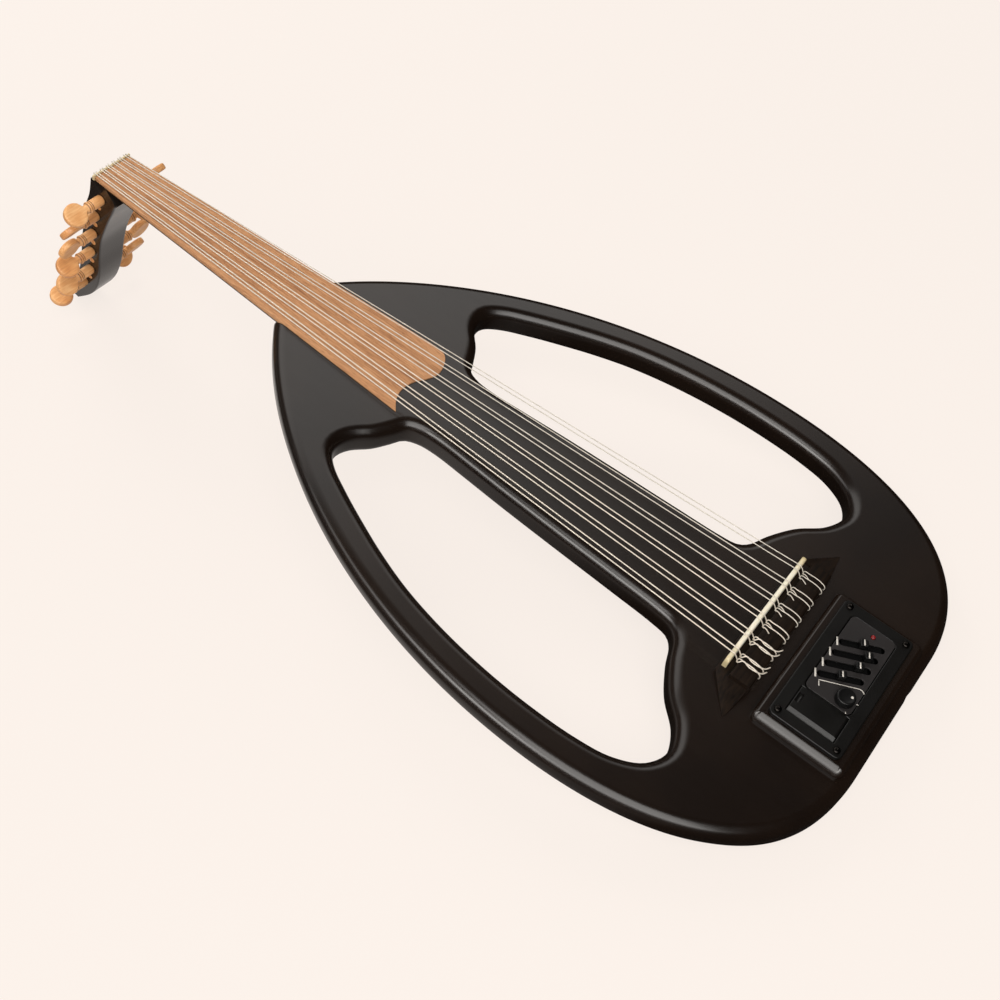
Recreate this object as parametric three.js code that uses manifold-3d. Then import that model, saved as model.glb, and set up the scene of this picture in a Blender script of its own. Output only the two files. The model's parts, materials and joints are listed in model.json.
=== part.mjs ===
// Electric oud: a thin solid body with two windows beside a spine, a glued neck with a bent-back
// pegbox, twelve friction pegs, six double courses, and a slider preamp on a raised plinth.
// Millimetres. The instrument is drawn with its top face at z = 0, the strings along y, the saddle
// line at y = 0 and the nut at y = scaleLength. It is then leaned so that it rests on a table.
import * as THREE from "three";
import { mergeVertices } from "three/addons/utils/BufferGeometryUtils.js";
import Module from "manifold-3d";

const wasm = await Module();
wasm.setup();

// Sizes shared by many pieces
const scaleLength = 585;
const seatGap = 0.3;
const cutOverrun = 3;

// Body
const bodyHalfWidth = 180;
const bodyThickness = 23;
const bodyEdgeRadius = 7.5;
const bodyTail = 104.4;
const bodyWidestAt = 69.5;
const bodyTailFlatHalf = 56;
const spineHalfWidth = 32.5;
const rimWidth = 27;
const windowTail = -3.3;
const windowHeadShare = 0.3175;

// Fingerboard and neck
const boardThickness = 3.3;
const boardProud = 1;
const boardHalfAtNut = 17.8;
const boardHalfAtEnd = 34.2;
const boardLength = 303;
const boardWave = 24;
const boardEdgeRadius = 0.5;
const neckLength = 187;
const neckDepthAtNut = 10;
const neckDepthAtHeel = 16;
const tenonLength = 45;
const tenonHalfWidth = 17;
const tenonDepth = 12;
const neckSpliceTop = 10;
const neckSpliceLean = 12;

// Nut, saddle and bridge
const nutThickness = 4;
const nutHeight = 1.2;
const nutHalfWidth = 18.5;
const saddleHalf = 55.5;
const saddleThickness = 2.4;
const saddleTop = 12.4;
const saddleEndRadius = 4;
const bridgeHalf = 57;
const bridgeFront = 4;
const bridgeBaseHeight = 3.6;
const tieFront = 5.5;
const tieBack = 21;
const tieTop = 8.4;
const tieEdgeRadius = 2;
const wingReach = 25;
const wingTipAt = 17.5;
const wingHeight = 5.2;
const slotFloor = 1.4;
const piezoHeight = 1;

// Strings
const courseSpacing = 17.1;
const pairGap = 4.6;
const nutCourseSpacing = 6;
const nutPairGap = 2.1;
const bassStringRadius = 0.55;
const trebleStringRadius = 0.36;
const holeClearance = 0.5;
const coilTurns = 2;
const coilSpace = 0.46;

// Pegbox
const pegboxDrop = 163;
const pegboxReach = 42;
const pegboxHalfAtNut = 18;
const pegboxHalfAtEnd = 9.5;
const pegboxRimWall = 2;
const pegboxWall = 3.6;
const pegboxBack = 4;
const pegboxTipBack = 2;

// Pegs
const pegsPerSide = 6;
const pegRadius = 3.6;
const pegTaperShare = 1 / 60;
const pegStub = 10.5;
const pegStubRadius = 4.2;
const pegGroove = 1.6;
const pegCollarRadius = 4.8;
const pegCollarLength = 1.9;
const pegNeck = 2.4;
const pegWaistRadius = 3.2;
const pegHeadRadius = 9.3;
const pegHeadThickness = 5.4;
const pegHeadRimThickness = 3.4;
const pegHeadSink = 0.8;

// Preamp plinth, housing and panel
const plinthX = -9.2;
const plinthY = -63.2;
const plinthHalfX = 61.6;
const plinthHalfY = 33.3;
const plinthHeight = 7;
const plinthCorner = 4;
const plinthEdgeRadius = 2.6;
const cavityHalfX = 48;
const cavityHalfY = 21.8;
const cavityDepth = 18;
const flangeHalfX = 55.4;
const flangeHalfY = 26.2;
const flangeThickness = 3.4;
const flangeCorner = 4.5;
const flangeBevel = 0.8;
const skirtInset = 1.2;
const skirtWall = 2;
const skirtDepth = 10.5;
const panelX = 1.8;
const panelHalfX = 34.8;
const panelHalfY = 16.6;
const panelThickness = 1.2;
const panelSink = 0.9;
const panelLedge = 1.8;
const panelCorner = 3;

// Sliders
const sliderCount = 4;
const sliderPitch = 10.3;
const sliderFirstX = 11.5;
const slotLength = 31.2;
const slotWidth = 2.8;
const slotTurn = THREE.MathUtils.degToRad(28);
const slotHeadInset = 2;
const capLength = 5.4;
const capWidth = 5;
const capHeight = 4.6;
const capStemLength = 3.2;
const capStemWidth = 1.4;
const sliderPlaceShares = [0.5, 0.75, 0.71, 0.49];
const potHeight = 6;
const potWidth = 7.4;
const volumePotHalf = 5;

// Knob, lamp, screws
const knobX = -25.2;
const knobY = -71.6;
const knobRadius = 6.6;
const knobHeight = 5.6;
const knobShaftRadius = 3;
const lampX = 30.2;
const lampY = -65;
const lampRadius = 1.5;
const lampHeight = 1;
const screwInsetX = 5.1;
const screwInsetY = 4.8;
const screwHeadRadius = 2.5;
const screwHeadHeight = 1.4;
const screwShankRadius = 1.2;
const screwLength = 15;

// Battery door and cells
const doorX = -45;
const doorHalfX = 10.6;
const doorHalfY = 17.2;
const doorThickness = 3;
const doorBevel = 1.6;
const doorPinRadius = 0.8;
const doorPinLength = 1.4;
const cellRadius = 10;
const cellThickness = 3.2;
const cellCount = 2;
const trayFloor = 1.4;
const boardSheet = 1.6;

// Output jack
const jackX = 20;
const jackRadius = 7.2;
const jackBoreRadius = 3.5;
const jackBushing = 7;
const jackWall = 0.8;
const jackLength = 27;
const jackBoreDepth = 25;
const jackCupRadius = 10;
const jackCupDepth = 3.2;
const jackNutRadius = 9.2;
const jackNutThickness = 2.2;
const leadRadius = 0.9;

// Facet counts
const outlineSteps = 21;
const tailSteps = 13;
const windowSteps = 46;
const edgeSteps = 3;
const shaftSides = 8;
const headSides = 16;
const stringSides = 5;
const coilSteps = 8;

// Places along the strings and heights, worked out from the sizes above
const neckJointAt = scaleLength - neckLength;
const boardTipAt = scaleLength - boardLength;
const windowHead = neckJointAt - windowHeadShare * (neckJointAt - bodyWidestAt);
const boardTop = boardProud;
const boardBottom = boardTop - boardThickness;
const neckTop = boardBottom - seatGap;
const plinthTop = seatGap + plinthHeight;
const flangeBottom = plinthTop + seatGap;
const flangeTop = flangeBottom + flangeThickness;
const panelBottom = flangeTop - panelSink + seatGap;
const panelTop = panelBottom + panelThickness;
const potTop = panelBottom - seatGap;
const sheetTop = potTop - potHeight - seatGap;
const jackZ = -bodyThickness / 2;
const jackFace = -bodyTail + jackCupDepth - jackNutThickness - 2 * seatGap;

const v2 = (x, y) => new THREE.Vector2(x, y);
const v3 = (x, y, z) => new THREE.Vector3(x, y, z);
const lerp = THREE.MathUtils.lerp;

// A geometry with only positions, its shared corners merged and its faces turned outwards.
function welded(geometry) {
  const bare = geometry.clone();
  bare.deleteAttribute("normal");
  bare.deleteAttribute("uv");
  const merged = mergeVertices(bare, 1e-4);
  const p = merged.attributes.position;
  const index = Array.from(merged.index.array);
  let volume = 0;
  const [a, b, c] = [v3(), v3(), v3()];
  for (let i = 0; i < index.length; i += 3) {
    a.fromBufferAttribute(p, index[i]);
    b.fromBufferAttribute(p, index[i + 1]);
    c.fromBufferAttribute(p, index[i + 2]);
    volume += a.dot(b.cross(c));
  }
  if (volume < 0) merged.setIndex(index.reverse());
  return merged;
}

function solidOf(geometry) {
  const g = welded(geometry);
  const vertProperties = new Float32Array(g.attributes.position.array);
  const triVerts = new Uint32Array(g.index.array);
  return new wasm.Manifold(new wasm.Mesh({ numProp: 3, vertProperties, triVerts }));
}

function geometryOf(solid) {
  const mesh = solid.getMesh();
  const g = new THREE.BufferGeometry();
  g.setAttribute("position", new THREE.BufferAttribute(new Float32Array(mesh.vertProperties), 3));
  g.setIndex(new THREE.BufferAttribute(new Uint32Array(mesh.triVerts), 1));
  return g;
}

function join(first, ...rest) {
  return geometryOf(rest.reduce((sum, g) => sum.add(solidOf(g)), solidOf(first)));
}

function cut(first, ...cutters) {
  return geometryOf(cutters.reduce((left, g) => left.subtract(solidOf(g)), solidOf(first)));
}

// A flat shape raised from z = low to z = high, with an optional round or chamfered edge inside it.
function plate(shape, low, high, edge = 0, steps = 1, curveSegments = 4) {
  const settings = {
    depth: high - low - 2 * edge,
    bevelEnabled: edge > 0,
    bevelThickness: edge,
    bevelSize: edge,
    bevelOffset: -edge,
    bevelSegments: steps,
    curveSegments,
  };
  return new THREE.ExtrudeGeometry(shape, settings).translate(0, 0, low + edge);
}

function box(x0, x1, y0, y1, z0, z1) {
  const middle = [(x0 + x1) / 2, (y0 + y1) / 2, (z0 + z1) / 2];
  return new THREE.BoxGeometry(x1 - x0, y1 - y0, z1 - z0).translate(...middle);
}

// A round rod, or a cone, between two points.
function rod(from, to, radius, sides = shaftSides, endRadius = radius) {
  const span = to.clone().sub(from);
  const g = new THREE.CylinderGeometry(endRadius, radius, span.length(), sides);
  const turn = new THREE.Quaternion().setFromUnitVectors(v3(0, 1, 0), span.clone().normalize());
  const middle = from.clone().add(to).multiplyScalar(1 / 2);
  return g.applyQuaternion(turn).translate(middle.x, middle.y, middle.z);
}

function roundedRectangle(halfX, halfY, corner) {
  const s = new THREE.Shape();
  s.moveTo(-halfX + corner, -halfY);
  s.lineTo(halfX - corner, -halfY);
  s.absarc(halfX - corner, -halfY + corner, corner, -Math.PI / 2, 0);
  s.lineTo(halfX, halfY - corner);
  s.absarc(halfX - corner, halfY - corner, corner, 0, Math.PI / 2);
  s.lineTo(-halfX + corner, halfY);
  s.absarc(-halfX + corner, halfY - corner, corner, Math.PI / 2, Math.PI);
  s.lineTo(-halfX, -halfY + corner);
  s.absarc(-halfX + corner, -halfY + corner, corner, Math.PI, 1.5 * Math.PI);
  return s;
}

// A closed skin over rings of the same number of points, with flat ends.
function skin(rings) {
  const count = rings[0].length;
  const positions = rings.flat().flatMap((p) => [p.x, p.y, p.z]);
  const index = [];
  for (let r = 0; r + 1 < rings.length; r++) {
    for (let k = 0; k < count; k++) {
      const next = (k + 1) % count;
      const a = r * count + k;
      const b = r * count + next;
      index.push(a, b, b + count, a, b + count, a + count);
    }
  }
  const last = (rings.length - 1) * count;
  for (let k = 1; k + 1 < count; k++) {
    index.push(0, k + 1, k);
    index.push(last, last + k, last + k + 1);
  }
  const g = new THREE.BufferGeometry();
  g.setAttribute("position", new THREE.Float32BufferAttribute(positions, 3));
  g.setIndex(index);
  return g;
}

// A curve through hand-chosen stations that keeps its rings at the stations, dense where they are.
class StationCurve extends THREE.CatmullRomCurve3 {
  getUtoTmapping(u) {
    return u;
  }
}

function tube(points, radius, sides = stringSides) {
  const section = new THREE.Shape();
  for (let k = 0; k < sides; k++) {
    const a = (2 * Math.PI * k) / sides;
    const corner = [radius * Math.cos(a), radius * Math.sin(a)];
    if (k === 0) section.moveTo(...corner);
    else section.lineTo(...corner);
  }
  section.closePath();
  const extrudePath = new StationCurve(points);
  const steps = points.length - 1;
  return new THREE.ExtrudeGeometry(section, { steps, extrudePath, bevelEnabled: false });
}

// Body outline: one cubic from the shoulder to the widest place, one from there to the tail flat.
const boardHalfAt = (y) =>
  lerp(boardHalfAtNut, boardHalfAtEnd, (scaleLength - y) / (scaleLength - boardTipAt));
const shoulderHalf = boardHalfAt(neckJointAt) + seatGap;
const shoulderReach = neckJointAt - bodyWidestAt;
const tailReach = bodyTail + bodyWidestAt;
const flankWidth = bodyHalfWidth - shoulderHalf;
const shoulderHandleShares = [0.49, 0.169];
const widestHeadShare = 0.468;
const widestTailShare = 0.296;
const tailHandleShare = 0.92;

function bodyHalfOutline() {
  const shoulder = v2(shoulderHalf, neckJointAt);
  const widest = v2(bodyHalfWidth, bodyWidestAt);
  const tail = v2(bodyTailFlatHalf, -bodyTail);
  const flank = new THREE.CubicBezierCurve(
    shoulder,
    v2(
      shoulderHalf + shoulderHandleShares[0] * flankWidth,
      neckJointAt - shoulderHandleShares[1] * shoulderReach,
    ),
    v2(bodyHalfWidth, bodyWidestAt + widestHeadShare * shoulderReach),
    widest,
  );
  const bout = new THREE.CubicBezierCurve(
    widest,
    v2(bodyHalfWidth, bodyWidestAt - widestTailShare * tailReach),
    v2(lerp(bodyTailFlatHalf, bodyHalfWidth, tailHandleShare), -bodyTail),
    tail,
  );
  return [...flank.getSpacedPoints(outlineSteps), ...bout.getSpacedPoints(tailSteps).slice(1)];
}

// Window outline, as shares across and along the window, from its spine side round by the tail.
const windowShares = [
  [0.048, 0.495],
  [0.067, 0.32],
  [0.082, 0.2],
  [0.1, 0.158],
  [0.15, 0.137],
  [0.27, 0.116],
  [0.433, 0.077],
  [0.58, 0.022],
  [0.738, 0],
  [0.87, 0.025],
  [0.955, 0.085],
  [0.99, 0.165],
  [1, 0.28],
  [0.985, 0.4],
  [0.944, 0.525],
  [0.88, 0.64],
  [0.8, 0.735],
  [0.7, 0.83],
  [0.612, 0.905],
  [0.53, 0.965],
  [0.46, 0.995],
  [0.4, 1],
  [0.32, 0.989],
  [0.22, 0.955],
  [0.12, 0.932],
  [0.045, 0.916],
  [0.01, 0.885],
  [0, 0.84],
  [0.012, 0.75],
  [0.03, 0.64],
];

function windowOutline(side) {
  const outer = bodyHalfWidth - rimWidth;
  const points = windowShares.map(([across, along]) =>
    v3(lerp(spineHalfWidth, outer, across) * side, lerp(windowTail, windowHead, along), 0),
  );
  const loop = new THREE.CatmullRomCurve3(points, true, "centripetal");
  const flat = loop.getSpacedPoints(windowSteps).slice(0, -1);
  return new THREE.Path(flat.map((p) => v2(p.x, p.y)));
}

function bodyShape() {
  const treble = bodyHalfOutline().reverse();
  const bass = treble.map((p) => v2(-p.x, p.y)).reverse();
  const shape = new THREE.Shape([...treble, ...bass]);
  shape.holes.push(windowOutline(1), windowOutline(-1));
  return shape;
}

// Fingerboard outline: straight tapering sides and a wave at the body end, from the sharp bass
// tip up and round a lobe on the treble side. The same outline, grown, cuts its seat.
const waveShares = [
  [-1, 0],
  [-0.74, 0.27],
  [-0.43, 0.39],
  [-0.12, 0.31],
  [0.16, 0.09],
  [0.44, -0.01],
  [0.78, 0.15],
  [0.955, 0.44],
  [1, 1],
];

function boardShape(grow = 0) {
  const nutEnd = scaleLength - seatGap + grow;
  const wave = waveShares.map(([across, along]) =>
    v2(across * (boardHalfAtEnd + grow), boardTipAt + along * boardWave - grow),
  );
  wave[wave.length - 1].x = boardHalfAt(boardTipAt + boardWave) + grow;
  const shape = new THREE.Shape();
  shape.moveTo(boardHalfAtNut + grow, nutEnd);
  shape.lineTo(-boardHalfAtNut - grow, nutEnd);
  shape.lineTo(wave[0].x, wave[0].y);
  shape.splineThru(wave.slice(1));
  return shape;
}

// A neck or pegbox section: flat on one face, arched on the other. Its two shares, of the side and
// of the back, take it from a parabola to nearly a box.
const parabolaShares = [2, 1];
const boxShares = [6, 6];

function archSection(half, depth, [sideShare, backShare], steps = 12) {
  const points = [];
  for (let k = 0; k <= steps; k++) {
    const a = (Math.PI * k) / steps;
    const across = -Math.sign(Math.cos(a)) * Math.abs(Math.cos(a)) ** (2 / sideShare) * half;
    points.push([across, Math.sin(a) ** (2 / backShare) * depth]);
  }
  return points;
}

// Neck: arched sections from the body joint to the slanted splice with the pegbox.
const neckEndTop = scaleLength - neckSpliceTop;
const neckDepthAt = (y) =>
  lerp(neckDepthAtHeel, neckDepthAtNut, (y - neckJointAt) / (scaleLength - neckJointAt));
const neckHalfAt = (y) => boardHalfAt(y) - seatGap;
const neckEdge = 1;

function neckRing(y, lean = 0) {
  const depth = neckDepthAt(y);
  return archSection(neckHalfAt(y), depth, parabolaShares).map(([x, d]) => {
    const drop = neckEdge + d;
    return v3(x, y - (lean * drop) / depth, neckTop - drop);
  });
}

function neckSkin(from, to, lean = 0, steps = 6) {
  const rings = [];
  for (let k = 0; k <= steps; k++) {
    const y = lerp(from, to, k / steps);
    const ring = neckRing(y, (lean * k) / steps);
    const half = neckHalfAt(y);
    rings.push([v3(half, y, neckTop), v3(-half, y, neckTop), ...ring]);
  }
  return skin(rings);
}

// Pegbox side profile: pairs of points on the open front and on the back, from under the nut to
// the tip, as shares of the reach beyond the nut and of the drop below the top. The first pair is
// the slanted splice with the neck, and from it to the second the top is flat.
const spliceShares = [
  [-neckSpliceTop / pegboxReach, -neckTop / pegboxDrop],
  [-0.524, 0.09],
];
const pegboxFrontShares = [
  [0.1, 0.016],
  [0.181, 0.123],
  [0.317, 0.221],
  [0.424, 0.344],
  [0.524, 0.472],
  [0.602, 0.595],
  [0.679, 0.687],
  [0.765, 0.768],
  [0.88, 0.84],
  [0.995, 0.91],
  [1.083, 0.982],
];
const pegboxBackShares = [
  [-0.452, 0.117],
  [-0.35, 0.178],
  [-0.226, 0.248],
  [-0.095, 0.331],
  [0.036, 0.429],
  [0.119, 0.546],
  [0.167, 0.66],
  [0.286, 0.758],
  [0.464, 0.837],
  [0.679, 0.917],
  [0.917, 0.997],
];
const channelShares = [0.005, 0.925];
const sidePoint = ([out, down]) => v2(scaleLength + out * pegboxReach, -down * pegboxDrop);
const frontCurve = new THREE.SplineCurve(pegboxFrontShares.map(sidePoint));
const backCurve = new THREE.SplineCurve(pegboxBackShares.map(sidePoint));
const pegboxHalf = (t) => lerp(pegboxHalfAtNut, pegboxHalfAtEnd, t);
const channelHalf = (t) => pegboxHalf(t) - lerp(pegboxRimWall, pegboxWall, Math.min(1, 4 * t));
const channelFloor = (t) => lerp(pegboxBack, pegboxTipBack, t);

function pegboxRing(front, back, half, squareness) {
  const depth = front.distanceTo(back);
  const out = front.clone().sub(back).normalize();
  const shares = parabolaShares.map((share, k) => lerp(share, boxShares[k], squareness));
  const arch = archSection(half, depth, shares, 8);
  return arch.map(([x, d]) => v3(x, front.x - out.x * d, front.y - out.y * d));
}

function channelRing(t) {
  const front = frontCurve.getPoint(t);
  const back = backCurve.getPoint(t);
  const out = front.clone().sub(back).normalize();
  const open = front.clone().addScaledVector(out, cutOverrun);
  const floor = back.clone().addScaledVector(out, channelFloor(t));
  const half = channelHalf(t);
  const corners = [
    [half, open],
    [-half, open],
    [-half, floor],
    [half, floor],
  ];
  return corners.map(([x, p]) => v3(x, p.x, p.y));
}

// Pegs stand on a line along the pegbox, bass and treble in turn.
const pegLineShares = [
  [-0.129, 0.11],
  [0.048, 0.233],
  [0.174, 0.368],
  [0.3, 0.528],
  [0.39, 0.675],
  [0.476, 0.745],
  [0.626, 0.807],
  [0.776, 0.867],
];
const pegLine = new THREE.SplineCurve(pegLineShares.map(sidePoint));
const pegPlaces = pegLine.getSpacedPoints(2 * pegsPerSide - 1).map((p, k) => {
  const t = nearestShare(p);
  const side = k % 2 === 0 ? -1 : 1;
  const inner = channelHalf(t);
  return { side, number: Math.floor(k / 2) + 1, y: p.x, z: p.y, half: pegboxHalf(t), inner };
});

// Where along the pegbox its middle comes nearest to a point of the side profile.
function nearestShare(p) {
  let best = 0;
  let least = Infinity;
  for (let k = 0; k <= 200; k++) {
    const t = k / 200;
    const middle = frontCurve.getPoint(t).add(backCurve.getPoint(t)).divideScalar(2);
    const away = middle.distanceTo(p);
    if (away < least) [best, least] = [t, away];
  }
  return best;
}

const pegHeadTurns = {
  bass: [150, 56, 75, 150, 125, 165],
  treble: [128, 68, 22, 107, 120, 58],
};

// Distance along a peg is measured out from the face of the pegbox, towards the head.
const pegShaftRadius = (along) => pegRadius + along * pegTaperShare;

function pegGeometry(half) {
  const inner = -2 * half - seatGap;
  const collar = pegStub + pegGroove;
  const collarEnd = collar + pegCollarLength;
  const headAt = collarEnd + pegNeck + pegHeadRadius;
  const profile = [
    v2(0, inner),
    v2(pegShaftRadius(inner), inner),
    v2(pegShaftRadius(seatGap), seatGap),
    v2(pegStubRadius, 2 * seatGap),
    v2(pegStubRadius, pegStub),
    v2(pegWaistRadius, pegStub + pegGroove / 2),
    v2(pegCollarRadius, collar),
    v2(pegCollarRadius, collarEnd),
    v2(pegWaistRadius, headAt - pegHeadRadius + 2 * pegHeadSink),
    v2(0, headAt - pegHeadRadius + 3 * pegHeadSink),
  ];
  const shaft = new THREE.LatheGeometry(profile, shaftSides);
  const rim = pegHeadRadius - (pegHeadThickness - pegHeadRimThickness) / 2;
  const lens = [
    v2(0, -pegHeadThickness / 2),
    v2(rim, -pegHeadThickness / 2),
    v2(pegHeadRadius, -pegHeadRimThickness / 2),
    v2(pegHeadRadius, pegHeadRimThickness / 2),
    v2(rim, pegHeadThickness / 2),
    v2(0, pegHeadThickness / 2),
  ];
  const head = new THREE.LatheGeometry(lens, headSides).rotateX(Math.PI / 2);
  return join(shaft, head.translate(0, headAt, 0));
}

// Body solid
function heelStub() {
  return neckSkin(neckJointAt - 2 * bodyEdgeRadius, neckJointAt, 0, 2);
}

function tenon(grow = 0) {
  return box(
    -tenonHalfWidth - grow,
    tenonHalfWidth + grow,
    neckJointAt - tenonLength - grow,
    neckJointAt + (grow ? cutOverrun : 2 * seatGap + cutOverrun),
    neckTop - tenonDepth - grow,
    neckTop + (grow ? cutOverrun : 0),
  );
}

// The lead of the pickup drops from the saddle slot and runs in a bore to the preamp cavity.
const leadX = -saddleHalf + 14 * leadRadius;
const leadPath = [
  v3(leadX, 0, slotFloor - leadRadius),
  v3(leadX, 0, -2 * leadRadius),
  v3(leadX, -leadRadius, -4.5 * leadRadius),
  v3(leadX, -4 * leadRadius, -5.5 * leadRadius),
  v3(leadX, plinthY + cavityHalfY - 2 * leadRadius, -cavityDepth / 2),
];

function bodyGeometry() {
  const slab = plate(bodyShape(), -bodyThickness, 0, bodyEdgeRadius, edgeSteps);
  const seat = plate(boardShape(seatGap), boardBottom - seatGap, boardTop + cutOverrun);
  const cavity = box(
    plinthX - cavityHalfX,
    plinthX + cavityHalfX,
    plinthY - cavityHalfY,
    plinthY + cavityHalfY,
    -cavityDepth,
    plinthTop,
  );
  const tailFace = v3(jackX, -bodyTail - cutOverrun, jackZ);
  const jackEnd = v3(jackX, jackFace + jackLength + seatGap, jackZ);
  const cupFloor = v3(jackX, -bodyTail + jackCupDepth, jackZ);
  const pilot = screwPlaces().map((p) =>
    rod(
      v3(p.x, p.y, cutOverrun),
      v3(p.x, p.y, flangeTop - screwLength - 2 * seatGap),
      screwShankRadius + seatGap,
      8,
    ),
  );
  return cut(
    join(slab, heelStub()),
    seat,
    tenon(seatGap),
    cavity,
    rod(tailFace, jackEnd, (jackRadius + seatGap) / Math.cos(Math.PI / 16), 16),
    rod(tailFace, cupFloor, jackCupRadius, 24),
    tube(leadPath, 2 * leadRadius, shaftSides),
    ...pilot,
  );
}

function neckGeometry() {
  const start = neckJointAt + seatGap;
  return join(neckSkin(start, neckEndTop - seatGap, neckSpliceLean), tenon());
}

function pegboxGeometry() {
  const [spliceTop, spliceFoot] = spliceShares.map(sidePoint);
  const rings = [pegboxRing(spliceTop, spliceFoot, neckHalfAt(neckEndTop), 0)];
  const stations = 12;
  for (let k = 0; k <= stations; k++) {
    const t = k / stations;
    const squareness = Math.min(1, 1 / 4 + 3 * t);
    rings.push(pegboxRing(frontCurve.getPoint(t), backCurve.getPoint(t), pegboxHalf(t), squareness));
  }
  const channel = [];
  const [channelStart, channelEnd] = channelShares;
  for (let k = 0; k <= 10; k++) channel.push(channelRing(lerp(channelStart, channelEnd, k / 10)));
  const sides = 8;
  const round = Math.cos(Math.PI / sides);
  const bores = pegPlaces.map(({ side, y, z, half }) => {
    const far = -2 * half - cutOverrun;
    return rod(
      v3(side * (half + cutOverrun), y, z),
      v3(side * (half + far), y, z),
      (pegShaftRadius(cutOverrun) + seatGap) / round,
      sides,
      (pegShaftRadius(far) + seatGap) / round,
    );
  });
  return cut(skin(rings), skin(channel), ...bores);
}

// Bridge: a low base with the saddle slot, a tie block behind it, and a sloping wing at each end.
function sideProfile(points) {
  const shape = new THREE.Shape();
  points.forEach(([y, z], i) => (i ? shape.lineTo(-y, z) : shape.moveTo(-y, z)));
  return shape;
}

// A profile drawn in (y, z), carried along x.
function acrossX(points, halfX) {
  const g = new THREE.ExtrudeGeometry(sideProfile(points), { depth: 2 * halfX, bevelEnabled: false });
  const axes = new THREE.Matrix4().makeBasis(v3(0, -1, 0), v3(0, 0, 1), v3(-1, 0, 0));
  return g.applyMatrix4(axes).translate(halfX, 0, 0);
}

function wing(side) {
  const base = [
    [bridgeFront, seatGap],
    [bridgeFront, bridgeBaseHeight],
    [-tieFront, wingHeight],
    [-tieBack + seatGap, wingHeight],
    [-tieBack + seatGap, seatGap],
  ];
  const start = side * (bridgeHalf - seatGap);
  const end = side * (bridgeHalf + wingReach);
  const tip = base.map(([y, z]) =>
    v3(end, lerp(y, -wingTipAt, 0.94), lerp(z, seatGap, 0.8)),
  );
  return skin([base.map(([y, z]) => v3(start, y, z)), tip]);
}

function bridgeGeometry() {
  const profile = [
    [bridgeFront, seatGap],
    [bridgeFront, bridgeBaseHeight - seatGap],
    [bridgeFront - seatGap, bridgeBaseHeight],
    [-tieFront, bridgeBaseHeight],
    [-tieFront, tieTop - tieEdgeRadius / 2],
    [-tieFront - tieEdgeRadius / 2, tieTop],
    [-tieBack + tieEdgeRadius, tieTop],
    [-tieBack + tieEdgeRadius / 4, tieTop - tieEdgeRadius / 2],
    [-tieBack, tieTop - tieEdgeRadius],
    [-tieBack, seatGap],
  ];
  const halfSlot = saddleThickness / 2 + seatGap;
  const slotHalf = saddleHalf + seatGap;
  const slot = box(-slotHalf, slotHalf, -halfSlot, halfSlot, slotFloor, tieTop + cutOverrun);
  const leadHole = rod(
    v3(leadX, 0, -seatGap),
    v3(leadX, 0, slotFloor + seatGap),
    2 * leadRadius,
  );
  const holes = strings.map((s) =>
    rod(
      v3(s.saddleX, -tieFront + cutOverrun, tieHoleZ),
      v3(s.saddleX, -tieBack - cutOverrun, tieHoleZ),
      s.radius + holeClearance,
      8,
    ),
  );
  return cut(join(acrossX(profile, bridgeHalf), wing(1), wing(-1)), slot, leadHole, ...holes);
}

function saddleGeometry() {
  const bottom = slotFloor + piezoHeight + 2 * seatGap;
  const shape = new THREE.Shape();
  shape.moveTo(-saddleHalf, bottom);
  shape.lineTo(saddleHalf, bottom);
  shape.lineTo(saddleHalf, saddleTop - saddleEndRadius);
  shape.quadraticCurveTo(saddleHalf, saddleTop, saddleHalf - saddleEndRadius, saddleTop);
  shape.lineTo(-saddleHalf + saddleEndRadius, saddleTop);
  shape.quadraticCurveTo(-saddleHalf, saddleTop, -saddleHalf, saddleTop - saddleEndRadius);
  return plate(shape, -saddleThickness / 2, saddleThickness / 2, seatGap).rotateX(Math.PI / 2);
}

function nutGeometry() {
  const top = boardTop + nutHeight;
  const profile = [
    [scaleLength, boardBottom],
    [scaleLength, top - seatGap],
    [scaleLength + seatGap, top],
    [scaleLength + nutThickness / 2, top],
    [scaleLength + nutThickness, top - nutHeight],
    [scaleLength + nutThickness, boardBottom],
  ];
  return acrossX(profile, nutHalfWidth);
}

// Strings, from the bass side. The outer ones go to the pegs nearest the nut, so that none
// crosses another, and each is wound inwards from the wall of the pegbox.
const stringCount = 2 * pegsPerSide;
const tieHoleZ = (seatGap + tieTop) / 2 + seatGap;
const strings = [];
for (let i = 0; i < stringCount; i++) {
  const course = Math.floor(i / 2);
  const fromMiddle = course - (stringCount / 2 - 1) / 2;
  const pairSide = i % 2 === 0 ? -1 : 1;
  strings.push({
    number: i + 1,
    radius: lerp(bassStringRadius, trebleStringRadius, course / (stringCount / 2 - 1)),
    saddleX: fromMiddle * courseSpacing + (pairSide * pairGap) / 2,
    nutX: fromMiddle * nutCourseSpacing + (pairSide * nutPairGap) / 2,
    peg: i < pegsPerSide ? 2 * i : 2 * (stringCount - 1 - i) + 1,
  });
}

// Least gap between the turns of a string's coil, measured on the points of its middle line.
let leastCoilGap = Infinity;

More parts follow.
